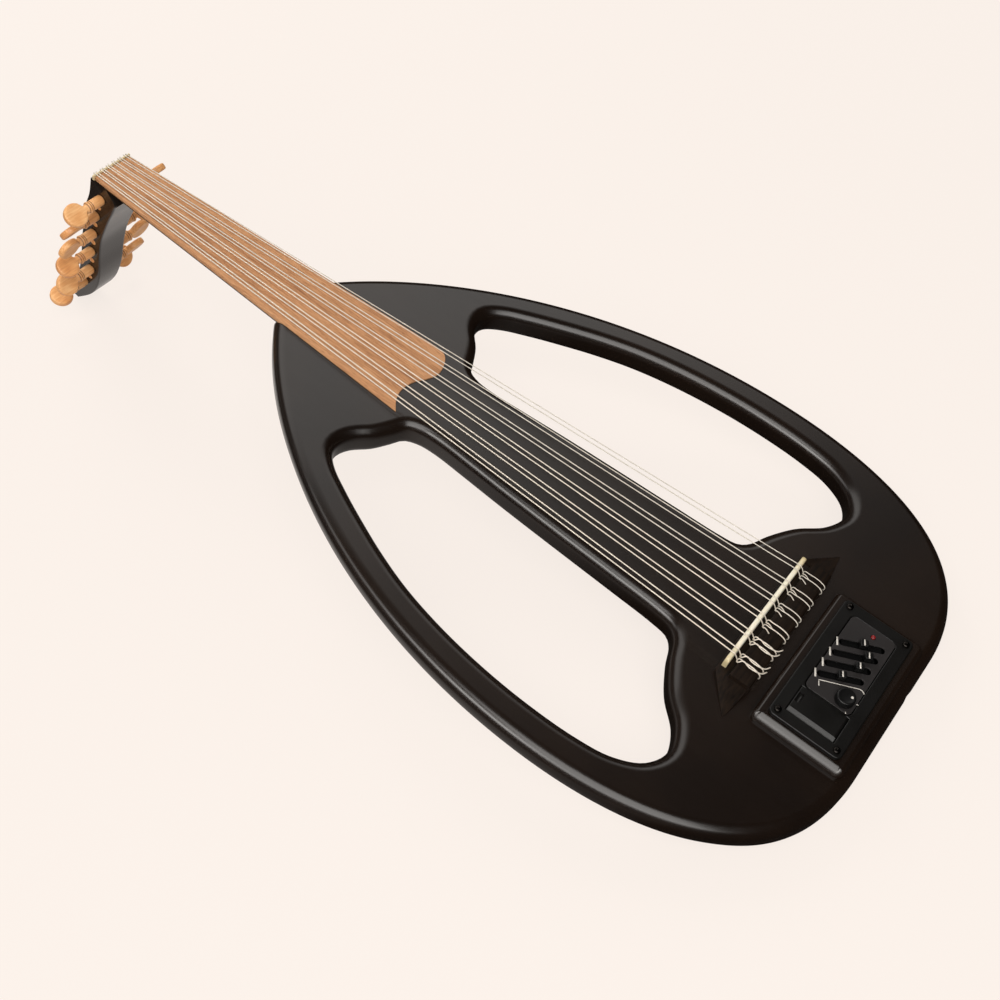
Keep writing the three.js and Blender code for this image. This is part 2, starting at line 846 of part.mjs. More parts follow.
function stringPath(s) {
  const r = s.radius;
  const x = s.saddleX;
  const clear = r + seatGap;
  const back = -tieBack - clear;
  const path = [
    v3(x, -tieFront + clear - 2 * r, tieTop + clear - seatGap / 2),
    v3(x, -tieFront - tieEdgeRadius, tieTop + clear + seatGap / 2),
    v3(x, -(tieFront + tieBack) / 2, tieTop + clear + 2 * seatGap),
    v3(x, -tieBack + tieEdgeRadius, tieTop + clear + seatGap),
    v3(x, back + tieEdgeRadius / 8, tieTop - tieEdgeRadius / 4),
    v3(x, back - seatGap, (tieTop + tieHoleZ) / 2),
    v3(x, back - seatGap / 2, tieHoleZ + seatGap),
    v3(x, -tieBack, tieHoleZ),
    v3(x, -tieFront - tieEdgeRadius, tieHoleZ),
    v3(x, -tieFront + seatGap, tieHoleZ + seatGap / 2),
    v3(x, -saddleThickness, saddleTop - saddleThickness),
    v3(x, -saddleThickness / 2, saddleTop + clear),
    v3(x, saddleThickness / 2, saddleTop + clear + seatGap / 2),
  ];
  const nutTop = boardTop + nutHeight + clear;
  const peg = pegPlaces[s.peg];
  const pitch = 2 * r + coilSpace;
  const coilLength = coilTurns * pitch;
  const coilRadius = pegShaftRadius(-pegboxRimWall) + clear;
  const coilX = peg.side * (peg.inner - clear - coilLength);
  const towardsCoil = (share) => lerp(s.nutX, coilX, share);
  for (const share of [0.3, 0.6, 0.9]) {
    path.push(v3(lerp(x, s.nutX, share), scaleLength * share, lerp(saddleTop + clear, nutTop, share)));
  }
  const nutBack = scaleLength + nutThickness;
  path.push(
    v3(s.nutX, scaleLength - nutThickness, nutTop + seatGap / 2),
    v3(s.nutX, scaleLength + nutThickness / 2, nutTop),
    v3(s.nutX, nutBack + seatGap, boardTop + clear + seatGap / 2),
    v3(towardsCoil(1 / 12), nutBack + clear + seatGap, boardTop - clear),
    v3(towardsCoil(1 / 4), nutBack + clear + 1.5 * seatGap, neckTop + seatGap),
  );
  const start = v3(coilX, peg.y + coilRadius, peg.z);
  const last = path[path.length - 1];
  path.push(last.clone().lerp(start, 1 / 2));
  const loop = [];
  for (let k = 0; k <= coilTurns * coilSteps; k++) {
    const a = (2 * Math.PI * k) / coilSteps;
    const along = coilX + (peg.side * pitch * k) / coilSteps;
    const round = coilRadius / Math.cos(Math.PI / coilSteps);
    loop.push(v3(along, peg.y + round * Math.cos(a), peg.z - round * Math.sin(a)));
  }
  for (let k = 0; k + coilSteps < loop.length; k++) {
    leastCoilGap = Math.min(leastCoilGap, loop[k].distanceTo(loop[k + coilSteps]) - 2 * r);
  }
  return [...path, ...loop];
}

// Preamp
function plinthGeometry() {
  const outer = plate(
    roundedRectangle(plinthHalfX, plinthHalfY, plinthCorner),
    -plinthEdgeRadius - cutOverrun,
    plinthHeight,
    plinthEdgeRadius,
    2,
  );
  const hollow = box(
    -cavityHalfX,
    cavityHalfX,
    -cavityHalfY,
    cavityHalfY,
    -4 * cutOverrun,
    plinthHeight + cutOverrun,
  );
  const below = box(
    -plinthHalfX - cutOverrun,
    plinthHalfX + cutOverrun,
    -plinthHalfY - cutOverrun,
    plinthHalfY + cutOverrun,
    -4 * cutOverrun,
    0,
  );
  const holes = screwPlaces().map((p) =>
    rod(
      v3(p.x - plinthX, p.y - plinthY, -cutOverrun),
      v3(p.x - plinthX, p.y - plinthY, plinthHeight + cutOverrun),
      screwShankRadius + seatGap,
      8,
    ),
  );
  return cut(outer, hollow, below, ...holes);
}

function screwPlaces() {
  const x = flangeHalfX - screwInsetX;
  const y = flangeHalfY - screwInsetY;
  return [
    v2(plinthX - x, plinthY - y),
    v2(plinthX + x, plinthY - y),
    v2(plinthX - x, plinthY + y),
    v2(plinthX + x, plinthY + y),
  ];
}

const doorHalfOpenX = doorHalfX + seatGap;
const hingeY = plinthY - doorHalfY + doorThickness / 2;
const hingeZ = flangeTop - doorThickness / 2 + seatGap;
const doorOpenHead = hingeY + Math.hypot(2 * doorHalfY - doorThickness / 2, doorThickness / 2) + seatGap;

function housingGeometry() {
  const flange = plate(
    roundedRectangle(flangeHalfX, flangeHalfY, flangeCorner),
    flangeBottom,
    flangeTop,
    flangeBevel,
  ).translate(plinthX, plinthY, 0);
  const outX = cavityHalfX - skirtInset;
  const outY = cavityHalfY - skirtInset;
  const skirtFoot = flangeBottom - skirtDepth;
  const skirt = box(
    plinthX - outX,
    plinthX + outX,
    plinthY - outY,
    plinthY + outY,
    skirtFoot,
    flangeBottom + flangeThickness / 2,
  );
  const trayEdge = panelX - panelHalfX + panelLedge - skirtWall;
  const works = box(
    trayEdge + skirtWall,
    plinthX + outX - skirtWall,
    plinthY - outY + skirtWall,
    plinthY + outY - skirtWall,
    skirtFoot - cutOverrun,
    flangeBottom,
  );
  const window = box(
    panelX - panelHalfX + panelLedge,
    panelX + panelHalfX - panelLedge,
    plinthY - panelHalfY + panelLedge,
    plinthY + panelHalfY - panelLedge,
    flangeBottom - cutOverrun,
    flangeTop + cutOverrun,
  );
  const recess = plate(
    roundedRectangle(panelHalfX + seatGap, panelHalfY + seatGap, panelCorner),
    flangeTop - panelSink,
    flangeTop + cutOverrun,
  ).translate(panelX, plinthY, 0);
  const door = box(
    doorX - doorHalfOpenX,
    doorX + doorHalfOpenX,
    hingeY - doorThickness / 2 - seatGap,
    doorOpenHead,
    flangeTop - doorThickness - seatGap,
    flangeTop + cutOverrun,
  );
  const tray = rod(
    v3(doorX, plinthY, skirtFoot + trayFloor),
    v3(doorX, plinthY, flangeTop),
    cellRadius + seatGap,
    20,
  );
  const pins = rod(
    v3(doorX - doorHalfX - doorPinLength - seatGap, hingeY, hingeZ),
    v3(doorX + doorHalfX + doorPinLength + seatGap, hingeY, hingeZ),
    doorPinRadius + seatGap,
    8,
  );
  const holes = screwPlaces().map((p) =>
    rod(
      v3(p.x, p.y, flangeBottom - cutOverrun),
      v3(p.x, p.y, flangeTop + cutOverrun),
      screwShankRadius + seatGap,
      8,
    ),
  );
  return cut(join(flange, skirt), works, window, recess, door, tray, pins, ...holes);
}

// The first slot starts at sliderFirstX, and the others follow a pitch apart towards the bass.
const slotHead = plinthY + panelHalfY - slotHeadInset;
const slotAlong = v2(Math.sin(slotTurn), -Math.cos(slotTurn));

function slotPoint(number, along) {
  const start = v2(sliderFirstX - number * sliderPitch, slotHead);
  return start.addScaledVector(slotAlong, along);
}

function slotCutter(number) {
  const shape = roundedRectangle(slotWidth / 2, slotLength / 2, slotWidth / 2 - seatGap);
  const middle = slotPoint(number, slotLength / 2);
  return plate(shape, panelBottom - cutOverrun, panelTop + cutOverrun, 0, 1, 2)
    .rotateZ(slotTurn)
    .translate(middle.x, middle.y, 0);
}

function panelGeometry() {
  const sheet = plate(
    roundedRectangle(panelHalfX, panelHalfY, panelCorner),
    panelBottom,
    panelTop,
    seatGap,
  ).translate(panelX, plinthY, 0);
  const cutters = [];
  for (let k = 0; k < sliderCount; k++) cutters.push(slotCutter(k));
  const upright = (x, y, radius) =>
    rod(v3(x, y, panelBottom - cutOverrun), v3(x, y, panelTop + cutOverrun), radius, 12);
  cutters.push(upright(knobX, knobY, knobShaftRadius + 2 * seatGap));
  cutters.push(upright(lampX, lampY, lampRadius + seatGap));
  return cut(sheet, ...cutters);
}

function sliderGeometry() {
  const cap = roundedRectangle(capWidth / 2, capLength / 2, capLength / 6);
  const top = plate(cap, seatGap, seatGap + capHeight, capHeight / 8, 1, 2);
  const foot = potTop + seatGap - panelTop;
  const stem = box(
    -capStemWidth / 2,
    capStemWidth / 2,
    -capStemLength / 2,
    capStemLength / 2,
    foot,
    seatGap + capHeight / 2,
  );
  return join(top, stem);
}

function knobGeometry() {
  const profile = [
    v2(0, potTop + seatGap - panelTop),
    v2(knobShaftRadius, potTop + seatGap - panelTop),
    v2(knobShaftRadius, seatGap),
    v2(knobRadius, seatGap),
    v2(knobRadius, knobHeight - 2 * seatGap),
    v2(knobRadius - 2 * seatGap, knobHeight),
    v2(0, knobHeight),
  ];
  return new THREE.LatheGeometry(profile, headSides).rotateX(Math.PI / 2);
}

function lampGeometry() {
  const profile = [
    v2(0, potTop + seatGap),
    v2(lampRadius, potTop + seatGap),
    v2(lampRadius, panelTop + lampHeight / 2),
    v2(lampRadius / 2, panelTop + lampHeight),
    v2(0, panelTop + lampHeight),
  ];
  return new THREE.LatheGeometry(profile, 10).rotateX(Math.PI / 2).translate(lampX, lampY, 0);
}

function screwGeometry() {
  const profile = [
    v2(0, flangeTop - screwLength),
    v2(screwShankRadius / 2, flangeTop - screwLength),
    v2(screwShankRadius, flangeTop - screwLength + 2 * screwShankRadius),
    v2(screwShankRadius, flangeTop + seatGap),
    v2(screwHeadRadius, flangeTop + seatGap),
    v2(screwHeadRadius, flangeTop + seatGap + screwHeadHeight / 2),
    v2(screwHeadRadius / 2, flangeTop + seatGap + screwHeadHeight),
    v2(0, flangeTop + seatGap + screwHeadHeight),
  ];
  return new THREE.LatheGeometry(profile, 10).rotateX(Math.PI / 2);
}

// Door: a leaf that turns on two pins at its tail edge, drawn about its hinge line.
function doorGeometry() {
  const r = doorThickness / 2;
  const profile = new THREE.Shape();
  profile.moveTo(-2 * doorHalfY + r, -r);
  profile.lineTo(0, -r);
  profile.absarc(0, 0, r, -Math.PI / 2, Math.PI / 2);
  profile.lineTo(-2 * doorHalfY + r, r);
  const leaf = plate(profile, -doorHalfX, doorHalfX, doorBevel / 2);
  const axes = new THREE.Matrix4().makeBasis(v3(0, -1, 0), v3(0, 0, 1), v3(-1, 0, 0));
  leaf.applyMatrix4(axes);
  const reach = doorHalfX + doorPinLength;
  const notchAt = 2 * doorHalfY - doorThickness;
  const notch = rod(v3(-capWidth / 2, notchAt, r), v3(capWidth / 2, notchAt, r), r / 2, 8);
  return cut(join(leaf, rod(v3(-reach, 0, 0), v3(reach, 0, 0), doorPinRadius, 8)), notch);
}

function potGeometry() {
  const half = slotLength / 2 - skirtWall;
  return box(-potWidth / 2, potWidth / 2, -half, half, potTop - potHeight, potTop);
}

// A pot hangs under the panel below its knob, and turns with it.
function volumePotGeometry() {
  const half = volumePotHalf;
  return box(knobX - half, knobX + half, knobY - half, knobY + half, potTop - potHeight, potTop);
}

function boardSheetGeometry() {
  const outX = cavityHalfX - skirtInset - skirtWall - seatGap;
  const outY = cavityHalfY - skirtInset - skirtWall - seatGap;
  const low = panelX - panelHalfX + panelLedge + seatGap;
  return box(
    low,
    plinthX + outX,
    plinthY - outY,
    plinthY + outY,
    sheetTop - boardSheet,
    sheetTop,
  );
}

function jackGeometry() {
  const chamber = jackRadius - jackWall;
  const profile = [
    v2(0, jackFace + jackLength),
    v2(0, jackFace + jackBoreDepth),
    v2(chamber, jackFace + jackBoreDepth),
    v2(chamber, jackFace + jackBushing),
    v2(jackBoreRadius, jackFace + jackBushing),
    v2(jackBoreRadius, jackFace),
    v2(jackRadius, jackFace),
    v2(jackRadius, jackFace + jackLength),
  ].reverse();
  return new THREE.LatheGeometry([...profile, profile[0]], 16).translate(jackX, 0, jackZ);
}

function jackNutGeometry() {
  const near = -bodyTail + jackCupDepth - seatGap;
  const far = near - jackNutThickness;
  const inner = (jackRadius + seatGap) / Math.cos(Math.PI / 16);
  const profile = [
    v2(inner, far),
    v2(jackNutRadius, far + seatGap),
    v2(jackNutRadius, near),
    v2(inner, near),
    v2(inner, far),
  ];
  return new THREE.LatheGeometry(profile, 16).translate(jackX, 0, jackZ);
}

// Finishes
const finish = (color, roughness, metalness = 0) =>
  new THREE.MeshStandardMaterial({ color, roughness, metalness });
const lacquer = finish(0x14110f, 0.28);
const boardWood = finish(0xb98a63, 0.6);
const pegWood = finish(0xcf9355, 0.5);
const bridgeWood = finish(0x2b1c16, 0.55);
const bone = finish(0xe9e2c8, 0.4);
const woundMetal = finish(0xd9d6cc, 0.35, 0.6);
const clearNylon = finish(0xe6e2d8, 0.3);
const housingPlastic = finish(0x1b1a1a, 0.45);
const panelPaint = finish(0x4a4644, 0.5);
const capPlastic = finish(0x0d0d0d, 0.5);
const lampRed = finish(0xb3202a, 0.25);
const steel = finish(0x8d8d90, 0.35, 0.9);
const cellSteel = finish(0xb9bcc0, 0.3, 0.9);
const greenSheet = finish(0x1f5a36, 0.6);
const jackChrome = finish(0xc4c6c8, 0.22, 0.95);
const leadRubber = finish(0x2a2a2a, 0.7);

const instrument = new THREE.Group();

function add(name, geometry, material, parent = instrument) {
  const mesh = new THREE.Mesh(welded(geometry), material);
  mesh.name = name;
  parent.add(mesh);
  return mesh;
}

const body = add("body", bodyGeometry(), lacquer);
add("neck", neckGeometry(), lacquer);
add("fingerboard", plate(boardShape(), boardBottom, boardTop, boardEdgeRadius), boardWood);
add("nut", nutGeometry(), bone);
const pegbox = add("pegbox", pegboxGeometry(), lacquer);

for (const place of pegPlaces) {
  const sideName = place.side < 0 ? "bass" : "treble";
  const peg = add(`peg_${sideName}_${place.number}`, pegGeometry(place.half), pegWood);
  const turn = THREE.MathUtils.degToRad(pegHeadTurns[sideName][place.number - 1]);
  peg.position.set(place.side * place.half, place.y, place.z);
  peg.rotation.set(place.side * turn, 0, (-place.side * Math.PI) / 2, "XYZ");
}

add("bridge", bridgeGeometry(), bridgeWood);
add("saddle", saddleGeometry(), bone);
const piezoHalf = saddleHalf - seatGap;
const piezoBed = slotFloor + seatGap;
const piezoSide = saddleThickness / 2;
add(
  "piezo_strip",
  box(-piezoHalf, piezoHalf, -piezoSide, piezoSide, piezoBed, piezoBed + piezoHeight),
  steel,
);
for (const s of strings) {
  const name = `string_${String(s.number).padStart(2, "0")}`;
  const material = s.number <= pegsPerSide ? woundMetal : clearNylon;
  add(name, tube(stringPath(s), s.radius), material);
}

add("preamp_plinth", plinthGeometry(), lacquer).position.set(plinthX, plinthY, seatGap);
add("preamp_housing", housingGeometry(), housingPlastic);
add("control_panel", panelGeometry(), panelPaint);
for (let k = 0; k < sliderCount; k++) {
  const place = slotPoint(k, sliderPlaceShares[k] * slotLength);
  const cap = add(`slider_cap_${k + 1}`, sliderGeometry(), capPlastic);
  cap.position.set(place.x, place.y, panelTop);
  cap.rotation.z = slotTurn;
  const middle = slotPoint(k, slotLength / 2);
  const pot = add(`slide_pot_${k + 1}`, potGeometry(), steel);
  pot.position.set(middle.x, middle.y, 0);
  pot.rotation.z = slotTurn;
}
add("volume_knob", knobGeometry(), capPlastic).position.set(knobX, knobY, panelTop);
add("volume_pot", volumePotGeometry(), steel);
add("power_lamp", lampGeometry(), lampRed);
screwPlaces().forEach((p, i) => {
  add(`housing_screw_${i + 1}`, screwGeometry(), steel).position.set(p.x, p.y, 0);
});
add("battery_door", doorGeometry(), housingPlastic).position.set(doorX, hingeY, hingeZ);
for (let k = 0; k < cellCount; k++) {
  const low = flangeBottom - skirtDepth + trayFloor + seatGap + k * (cellThickness + seatGap);
  const cell = rod(v3(doorX, plinthY, low), v3(doorX, plinthY, low + cellThickness), cellRadius, 20);
  add(`battery_cell_${k + 1}`, cell, cellSteel);
}
add("circuit_board", boardSheetGeometry(), greenSheet);
add("output_jack", jackGeometry(), jackChrome);
add("jack_nut", jackNutGeometry(), jackChrome);
add("pickup_lead", tube(leadPath, leadRadius, shaftSides), leadRubber);

// The instrument leans until the tail edge of the body and the tip of the pegbox both touch the
// table, and its box is then centred over the origin.
const stand = new THREE.Group();
stand.add(instrument);

function lowest(mesh) {
  instrument.updateMatrixWorld(true);
  return new THREE.Box3().setFromObject(mesh, true).min.z;
}

const restSpan = scaleLength + pegboxReach + bodyTail;
for (let pass = 0; pass < 8; pass++) {
  instrument.rotation.x += Math.atan2(lowest(body) - lowest(pegbox), restSpan);
}
instrument.updateMatrixWorld(true);
const extent = new THREE.Box3().setFromObject(instrument, true);
instrument.position.set(
  -(extent.min.x + extent.max.x) / 2,
  -(extent.min.y + extent.max.y) / 2,
  -extent.min.z,
);

console.log(`least gap between string coils: ${leastCoilGap.toFixed(2)} mm`);

export default stand;
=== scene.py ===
import json
import math

import bmesh
import bpy
import numpy as np
from mathutils import Matrix, Vector
from mathutils.geometry import tessellate_polygon


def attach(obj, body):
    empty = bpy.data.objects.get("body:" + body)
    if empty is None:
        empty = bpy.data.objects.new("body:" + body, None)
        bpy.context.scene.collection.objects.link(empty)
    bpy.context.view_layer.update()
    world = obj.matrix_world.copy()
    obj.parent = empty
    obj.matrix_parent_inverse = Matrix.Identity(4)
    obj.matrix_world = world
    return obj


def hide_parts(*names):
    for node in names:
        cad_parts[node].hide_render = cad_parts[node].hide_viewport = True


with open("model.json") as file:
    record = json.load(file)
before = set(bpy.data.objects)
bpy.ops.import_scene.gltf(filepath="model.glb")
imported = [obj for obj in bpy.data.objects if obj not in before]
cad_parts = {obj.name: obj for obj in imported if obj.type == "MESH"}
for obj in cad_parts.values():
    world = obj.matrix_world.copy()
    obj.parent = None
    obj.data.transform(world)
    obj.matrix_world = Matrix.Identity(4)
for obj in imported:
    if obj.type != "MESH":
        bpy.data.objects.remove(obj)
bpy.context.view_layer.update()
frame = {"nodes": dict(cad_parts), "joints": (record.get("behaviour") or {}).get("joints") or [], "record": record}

# How the instrument rests. It is drawn lying flat, in millimetres: x to the treble side, y along
# the strings with the saddle at 0 and the nut at 585, z up with the body's top face at 0. On the
# table it leans on its tail edge and the pegbox tip, by the angle that its flat back gives.
scale_length = 585.0
back_rest = next(m for m in frame["record"]["mounts"] if m["name"] == "back")
lean_sine, lean_cosine = back_rest["axis"][1], -back_rest["axis"][2]
lean = np.array([[1, 0, 0], [0, lean_cosine, -lean_sine], [0, lean_sine, lean_cosine]])
body_thickness = 23.0
middle_of_back = np.array([0.0, 150.0, -body_thickness])
shift = 1000 * np.array(back_rest["pos_m"]) - lean @ middle_of_back


def placed(points):
    """Points of the flat drawing in mm, turned by the lean and moved onto the table, in metres."""
    return (np.asarray(points, float) @ lean.T + shift) / 1000


# The camera stands at the bass side, above the bridge, and looks across the instrument. Its place
# and its three directions are given in the flat drawing.
camera_place = [-579.01, -40.85, 751.90]
camera_right = [0.583572, -0.792674, 0.176388]
camera_down = [-0.585749, -0.561329, -0.584643]
camera_forward = [0.562443, 0.237862, -0.791884]


def in_scene(name, data):
    """A new object of the scene, which sits at the origin."""
    made = bpy.data.objects.new(name, data)
    bpy.context.scene.collection.objects.link(made)
    return made


camera = in_scene("camera", bpy.data.cameras.new("camera"))
turn = np.eye(4)
turn[:3, :3] = lean @ np.array([camera_right, camera_down, camera_forward]).T * [1, -1, -1]
turn[:3, 3] = placed(camera_place)
camera.matrix_world = Matrix(turn.tolist())
camera.data.sensor_width = 36.0
camera.data.lens = 51.09
camera.data.shift_x, camera.data.shift_y = 0.00198, -0.00016
camera.data.clip_start, camera.data.clip_end = 0.01, 50.0
bpy.context.scene.camera = camera

# The table and the studio. A plain pale sheet fills the view, and two soft boxes light it. The
# lacquer mirrors a dim wall, a long white window at the bass side, a dark ceiling, and a white panel
# past the neck and the treble side, so that it is grey near the neck and nearly black at the tail.
paper = "#FCF3EC"
paper_glow_near = 0.86
half_table = 6.0
towards_window = (-0.7, 0.7, 0.0)
towards_panel = (0.7, 1.0, 0.0)
out_from_rim = (-0.95, 0.3, 0.0)
window_brightness = 11.5


def linear(colour, times=1.0):
    """An sRGB hex colour as linear red, green, blue and alpha: each channel over 12.92 where it is
    very dark, and else to the power of 2.4. It can be made so many times lighter or darker."""
    parts = np.array([int(colour[k:k + 2], 16) for k in (1, 3, 5)]) / 255
    parts = np.where(parts <= 0.04045, parts / 12.92, ((parts + 0.055) / 1.055) ** 2.4)
    return [*np.minimum(1, parts * times), 1.0]


def add(tree, kind, inputs=(), stops=(), **settings):
    """Adds a shader node, sets its settings, and gives a ramp its stops: the first, the last, and
    any between. It fills each input, by name or in order, with a plain value, with a link from an
    output, or with a link from the first output that another node has in use."""
    made = tree.nodes.new("ShaderNode" + kind)
    for name, value in settings.items():
        setattr(made, name, value)
    for k, (position, colour) in enumerate(stops):
        ramp = made.color_ramp.elements
        stop = ramp[k] if k < 2 else ramp.new(position)
        stop.position, stop.color = position, colour
    for name, value in enumerate(inputs) if isinstance(inputs, list) else dict(inputs).items():
        if isinstance(value, bpy.types.Node):
            value = next(output for output in value.outputs if output.enabled)
        if isinstance(value, bpy.types.NodeSocket):
            tree.links.new(value, made.inputs[name])
        else:
            made.inputs[name].default_value = value
    return made


def empty_material(name):
    """A material whose node tree is empty, that tree, and its object coordinates in metres."""
    material = bpy.data.materials.new(name)
    material.use_nodes = True
    tree = material.node_tree
    tree.nodes.clear()
    return material, tree, add(tree, "TexCoord").outputs["Object"]


def table_sheet():
    """Pale paper: what is seen is mostly its own flat colour, all of it far out, and it keeps the
    shadow. What the lacquer mirrors of it is pale close to the bass rim and under the neck, and
    fades to dark towards the tail, the treble side, past the head, and far out."""
    material, tree, place = empty_material("paper_sheet")
    out = add(tree, "VectorMath", [place], operation="LENGTH")
    share = add(tree, "MapRange", [out, 0.6, 2.0, paper_glow_near, 1.0])
    level = add(tree, "MapRange", [out, 0.6, 2.0, 1.012, 1.0])
    lit = add(tree, "BsdfDiffuse", [linear("#DCD2CA")])
    bounced = add(tree, "BsdfDiffuse", [linear("#B9B0A8")])
    glow = add(tree, "Emission", [linear(paper), level])
    seen = add(tree, "MixShader", [share, lit, glow])
    along = add(tree, "VectorMath", [place, towards_window], operation="DOT_PRODUCT")
    outward = add(tree, "VectorMath", [place, out_from_rim], operation="DOT_PRODUCT")
    fade = add(tree, "MapRange", [along, -0.08, 0.14, 0.02, 0.85])
    up_to_head = add(tree, "MapRange", [
        add(tree, "SeparateXYZ", [place]).outputs["Y"], 0.36, 0.46, 1.0, 0.15])
    close_by = add(tree, "MapRange", [outward, 0.20, 0.27, 1.0, 0.15])
    for other in (up_to_head, close_by):
        fade = add(tree, "Math", [fade, other], operation="MULTIPLY")
    mirrored = add(tree, "Emission", [linear(paper), fade])
    ray = add(tree, "LightPath").outputs
    shown = add(tree, "Math", [ray["Is Camera Ray"], ray["Is Transmission Ray"]], operation="MAXIMUM")
    first = add(tree, "MixShader", [shown, bounced, seen])
    whole = add(tree, "MixShader", [ray["Is Glossy Ray"], first, mirrored])
    add(tree, "OutputMaterial", [whole])
    return material


sheet_mesh = bpy.data.meshes.new("table_sheet")
corners = [(-half_table, -half_table, 0), (half_table, -half_table, 0),
           (half_table, half_table, 0), (-half_table, half_table, 0)]
sheet_mesh.from_pydata(corners, [], [(0, 1, 2, 3)])
sheet_mesh.materials.append(table_sheet())
in_scene("table_sheet", sheet_mesh)

world = bpy.data.worlds.new("studio")
bpy.context.scene.world = world
world.use_nodes = True
sky = world.node_tree
sky.nodes.clear()
# Each MapRange has the height or side where a wall or window starts and ends, and what it is there.
upwards = add(sky, "TexCoord").outputs["Generated"]
apart = add(sky, "SeparateXYZ", [upwards]).outputs
wall = add(sky, "MapRange", [apart["Z"], 0.10, 0.45, 0.2, 0.0])
along = add(sky, "VectorMath", [upwards, towards_window], operation="DOT_PRODUCT")
fade = add(sky, "MapRange", [along, -0.10, 0.50, 0.04, 1.0])
horizon = add(sky, "Math", [wall, fade], operation="MULTIPLY")
panel_side = add(sky, "VectorMath", [upwards, towards_panel], operation="DOT_PRODUCT")
glimmer = add(sky, "MapRange", [panel_side, 0.24, 0.41, 0.0, 0.26])
bright = add(sky, "MapRange", [panel_side, 0.41, 0.60, 0.0, 1.55], interpolation_type="SMOOTHSTEP")
panel = add(sky, "Math", [glimmer, bright], operation="ADD")
above = add(sky, "MapRange", [apart["Z"], 0.50, 0.66, 0.0, 1.0], interpolation_type="SMOOTHSTEP")
beyond = add(sky, "Math", [panel, above], operation="MULTIPLY")
side_window = window_brightness
for axis, *edge in (("X", -0.5, -0.3, 1.0, 0.0), ("Y", -0.10, 0.03, 0.1, 1.0), ("Y", 0.16, 0.56, 1.0, 0.2),
                    ("Z", 0.36, 0.46, 0.0, 1.0), ("Z", 0.58, 0.68, 1.0, 0.0)):
    edge = add(sky, "MapRange", [apart[axis], *edge], interpolation_type="SMOOTHSTEP")
    side_window = add(sky, "Math", [edge, side_window], operation="MULTIPLY")
windows = add(sky, "Math", [beyond, side_window], operation="ADD")
strength = add(sky, "Math", [horizon, windows], operation="ADD")
plain = add(sky, "Background", [linear("#FFF8F0"), 0.42])
mirrored = add(sky, "Background", [linear("#FFFCF8"), strength])
backdrop = add(sky, "Background", [linear(paper), 1.0])
ray = add(sky, "LightPath").outputs
with_gloss = add(sky, "MixShader", [ray["Is Glossy Ray"], plain, mirrored])
shown = add(sky, "Math", [ray["Is Camera Ray"], ray["Is Transmission Ray"]], operation="MAXIMUM")
add(sky, "OutputWorld", [add(sky, "MixShader", [shown, with_gloss, backdrop])])

for name, direction, distance, size, power, mirrors in (
        ("soft_box_key", (-0.62, -0.42, 0.80), 2.4, 1.9, 52.0, True),
        ("soft_box_neck", (0.36, 0.78, 0.62), 2.2, 1.1, 22.0, False)):
    lamp = bpy.data.lights.new(name, "AREA")
    lamp.shape = "SQUARE"
    lamp.size, lamp.energy, lamp.color = size, power, (1.0, 0.975, 0.945)
    stand = in_scene(name, lamp)
    towards = Vector(direction).normalized()
    stand.location = Vector((0, 0, 0.06)) + towards * distance
    stand.rotation_mode = "QUATERNION"
    stand.rotation_quaternion = towards.to_track_quat("Z", "Y")
    stand.visible_glossy = mirrors

bpy.context.scene.view_settings.view_transform = "Standard"

# Body: one thin slab of solid wood with a window at each side of a spine, its edges rounded over
# and the whole sprayed with black lacquer, which is rubbed down to a satin. It is flat on both
# faces. The tail edge has a round recess with the output jack.
body_half_width, body_widest_at = 180.0, 69.5
body_edge_radius, body_flank_radius = 8.3, 13.5
body_tail, body_tail_flat_half, body_tail_hollow = 104.4, 56.0, 0.03
shoulder_out, shoulder_pull, flank_pull, bout_pull, corner_pull = 0.49, 0.169, 0.468, 0.296, 0.92
tail_round_from, tail_round_over, neck_round_from, neck_round_over = 4, 50, 10, 90
neck_joint_at = scale_length - 187.0
spine_half_width, rim_width = 32.5, 27.0
window_tail, window_head = -3.3, neck_joint_at - 104.3
board_half_at_nut, board_half_at_end = 17.8, 34.2
board_tip_at = scale_length - 303.0
gap = 0.3
weld = 1e-6
jack_x, jack_z = 20.0, -body_thickness / 2
jack_cup_radius, jack_cup_depth, jack_bore_radius, jack_bore_depth = 7.0, 3.2, 6.3, 40.0
# Round one window: shares of the way out to the rim, and from its tail end to its head end.
window_shares = np.array([
    [0.048, 0.495], [0.067, 0.32], [0.082, 0.2], [0.1, 0.158], [0.15, 0.137], [0.27, 0.116],
    [0.433, 0.077], [0.58, 0.022], [0.738, 0], [0.87, 0.025], [0.955, 0.085], [0.99, 0.165],
    [1, 0.28], [0.985, 0.4], [0.944, 0.525], [0.88, 0.64], [0.8, 0.735], [0.7, 0.83],
    [0.612, 0.905], [0.53, 0.965], [0.46, 0.995], [0.4, 1], [0.32, 0.989], [0.22, 0.955],
    [0.12, 0.932], [0.045, 0.916], [0.01, 0.885], [0, 0.84], [0.012, 0.75], [0.03, 0.64]])


def smooth(x):
    """A smooth step from 0 to 1: three squares less two cubes."""
    x = np.clip(x, 0, 1)
    return x ** 2 * (3 - 2 * x)


def angles(count):
    """So many angles at equal steps round a full turn."""
    return np.linspace(0, 2 * math.pi, count, endpoint=False)


def board_half(y):
    """Half the fingerboard's width, which grows evenly from the nut to the board's end."""
    share = (scale_length - y) / (scale_length - board_tip_at)
    return board_half_at_nut + (board_half_at_end - board_half_at_nut) * share


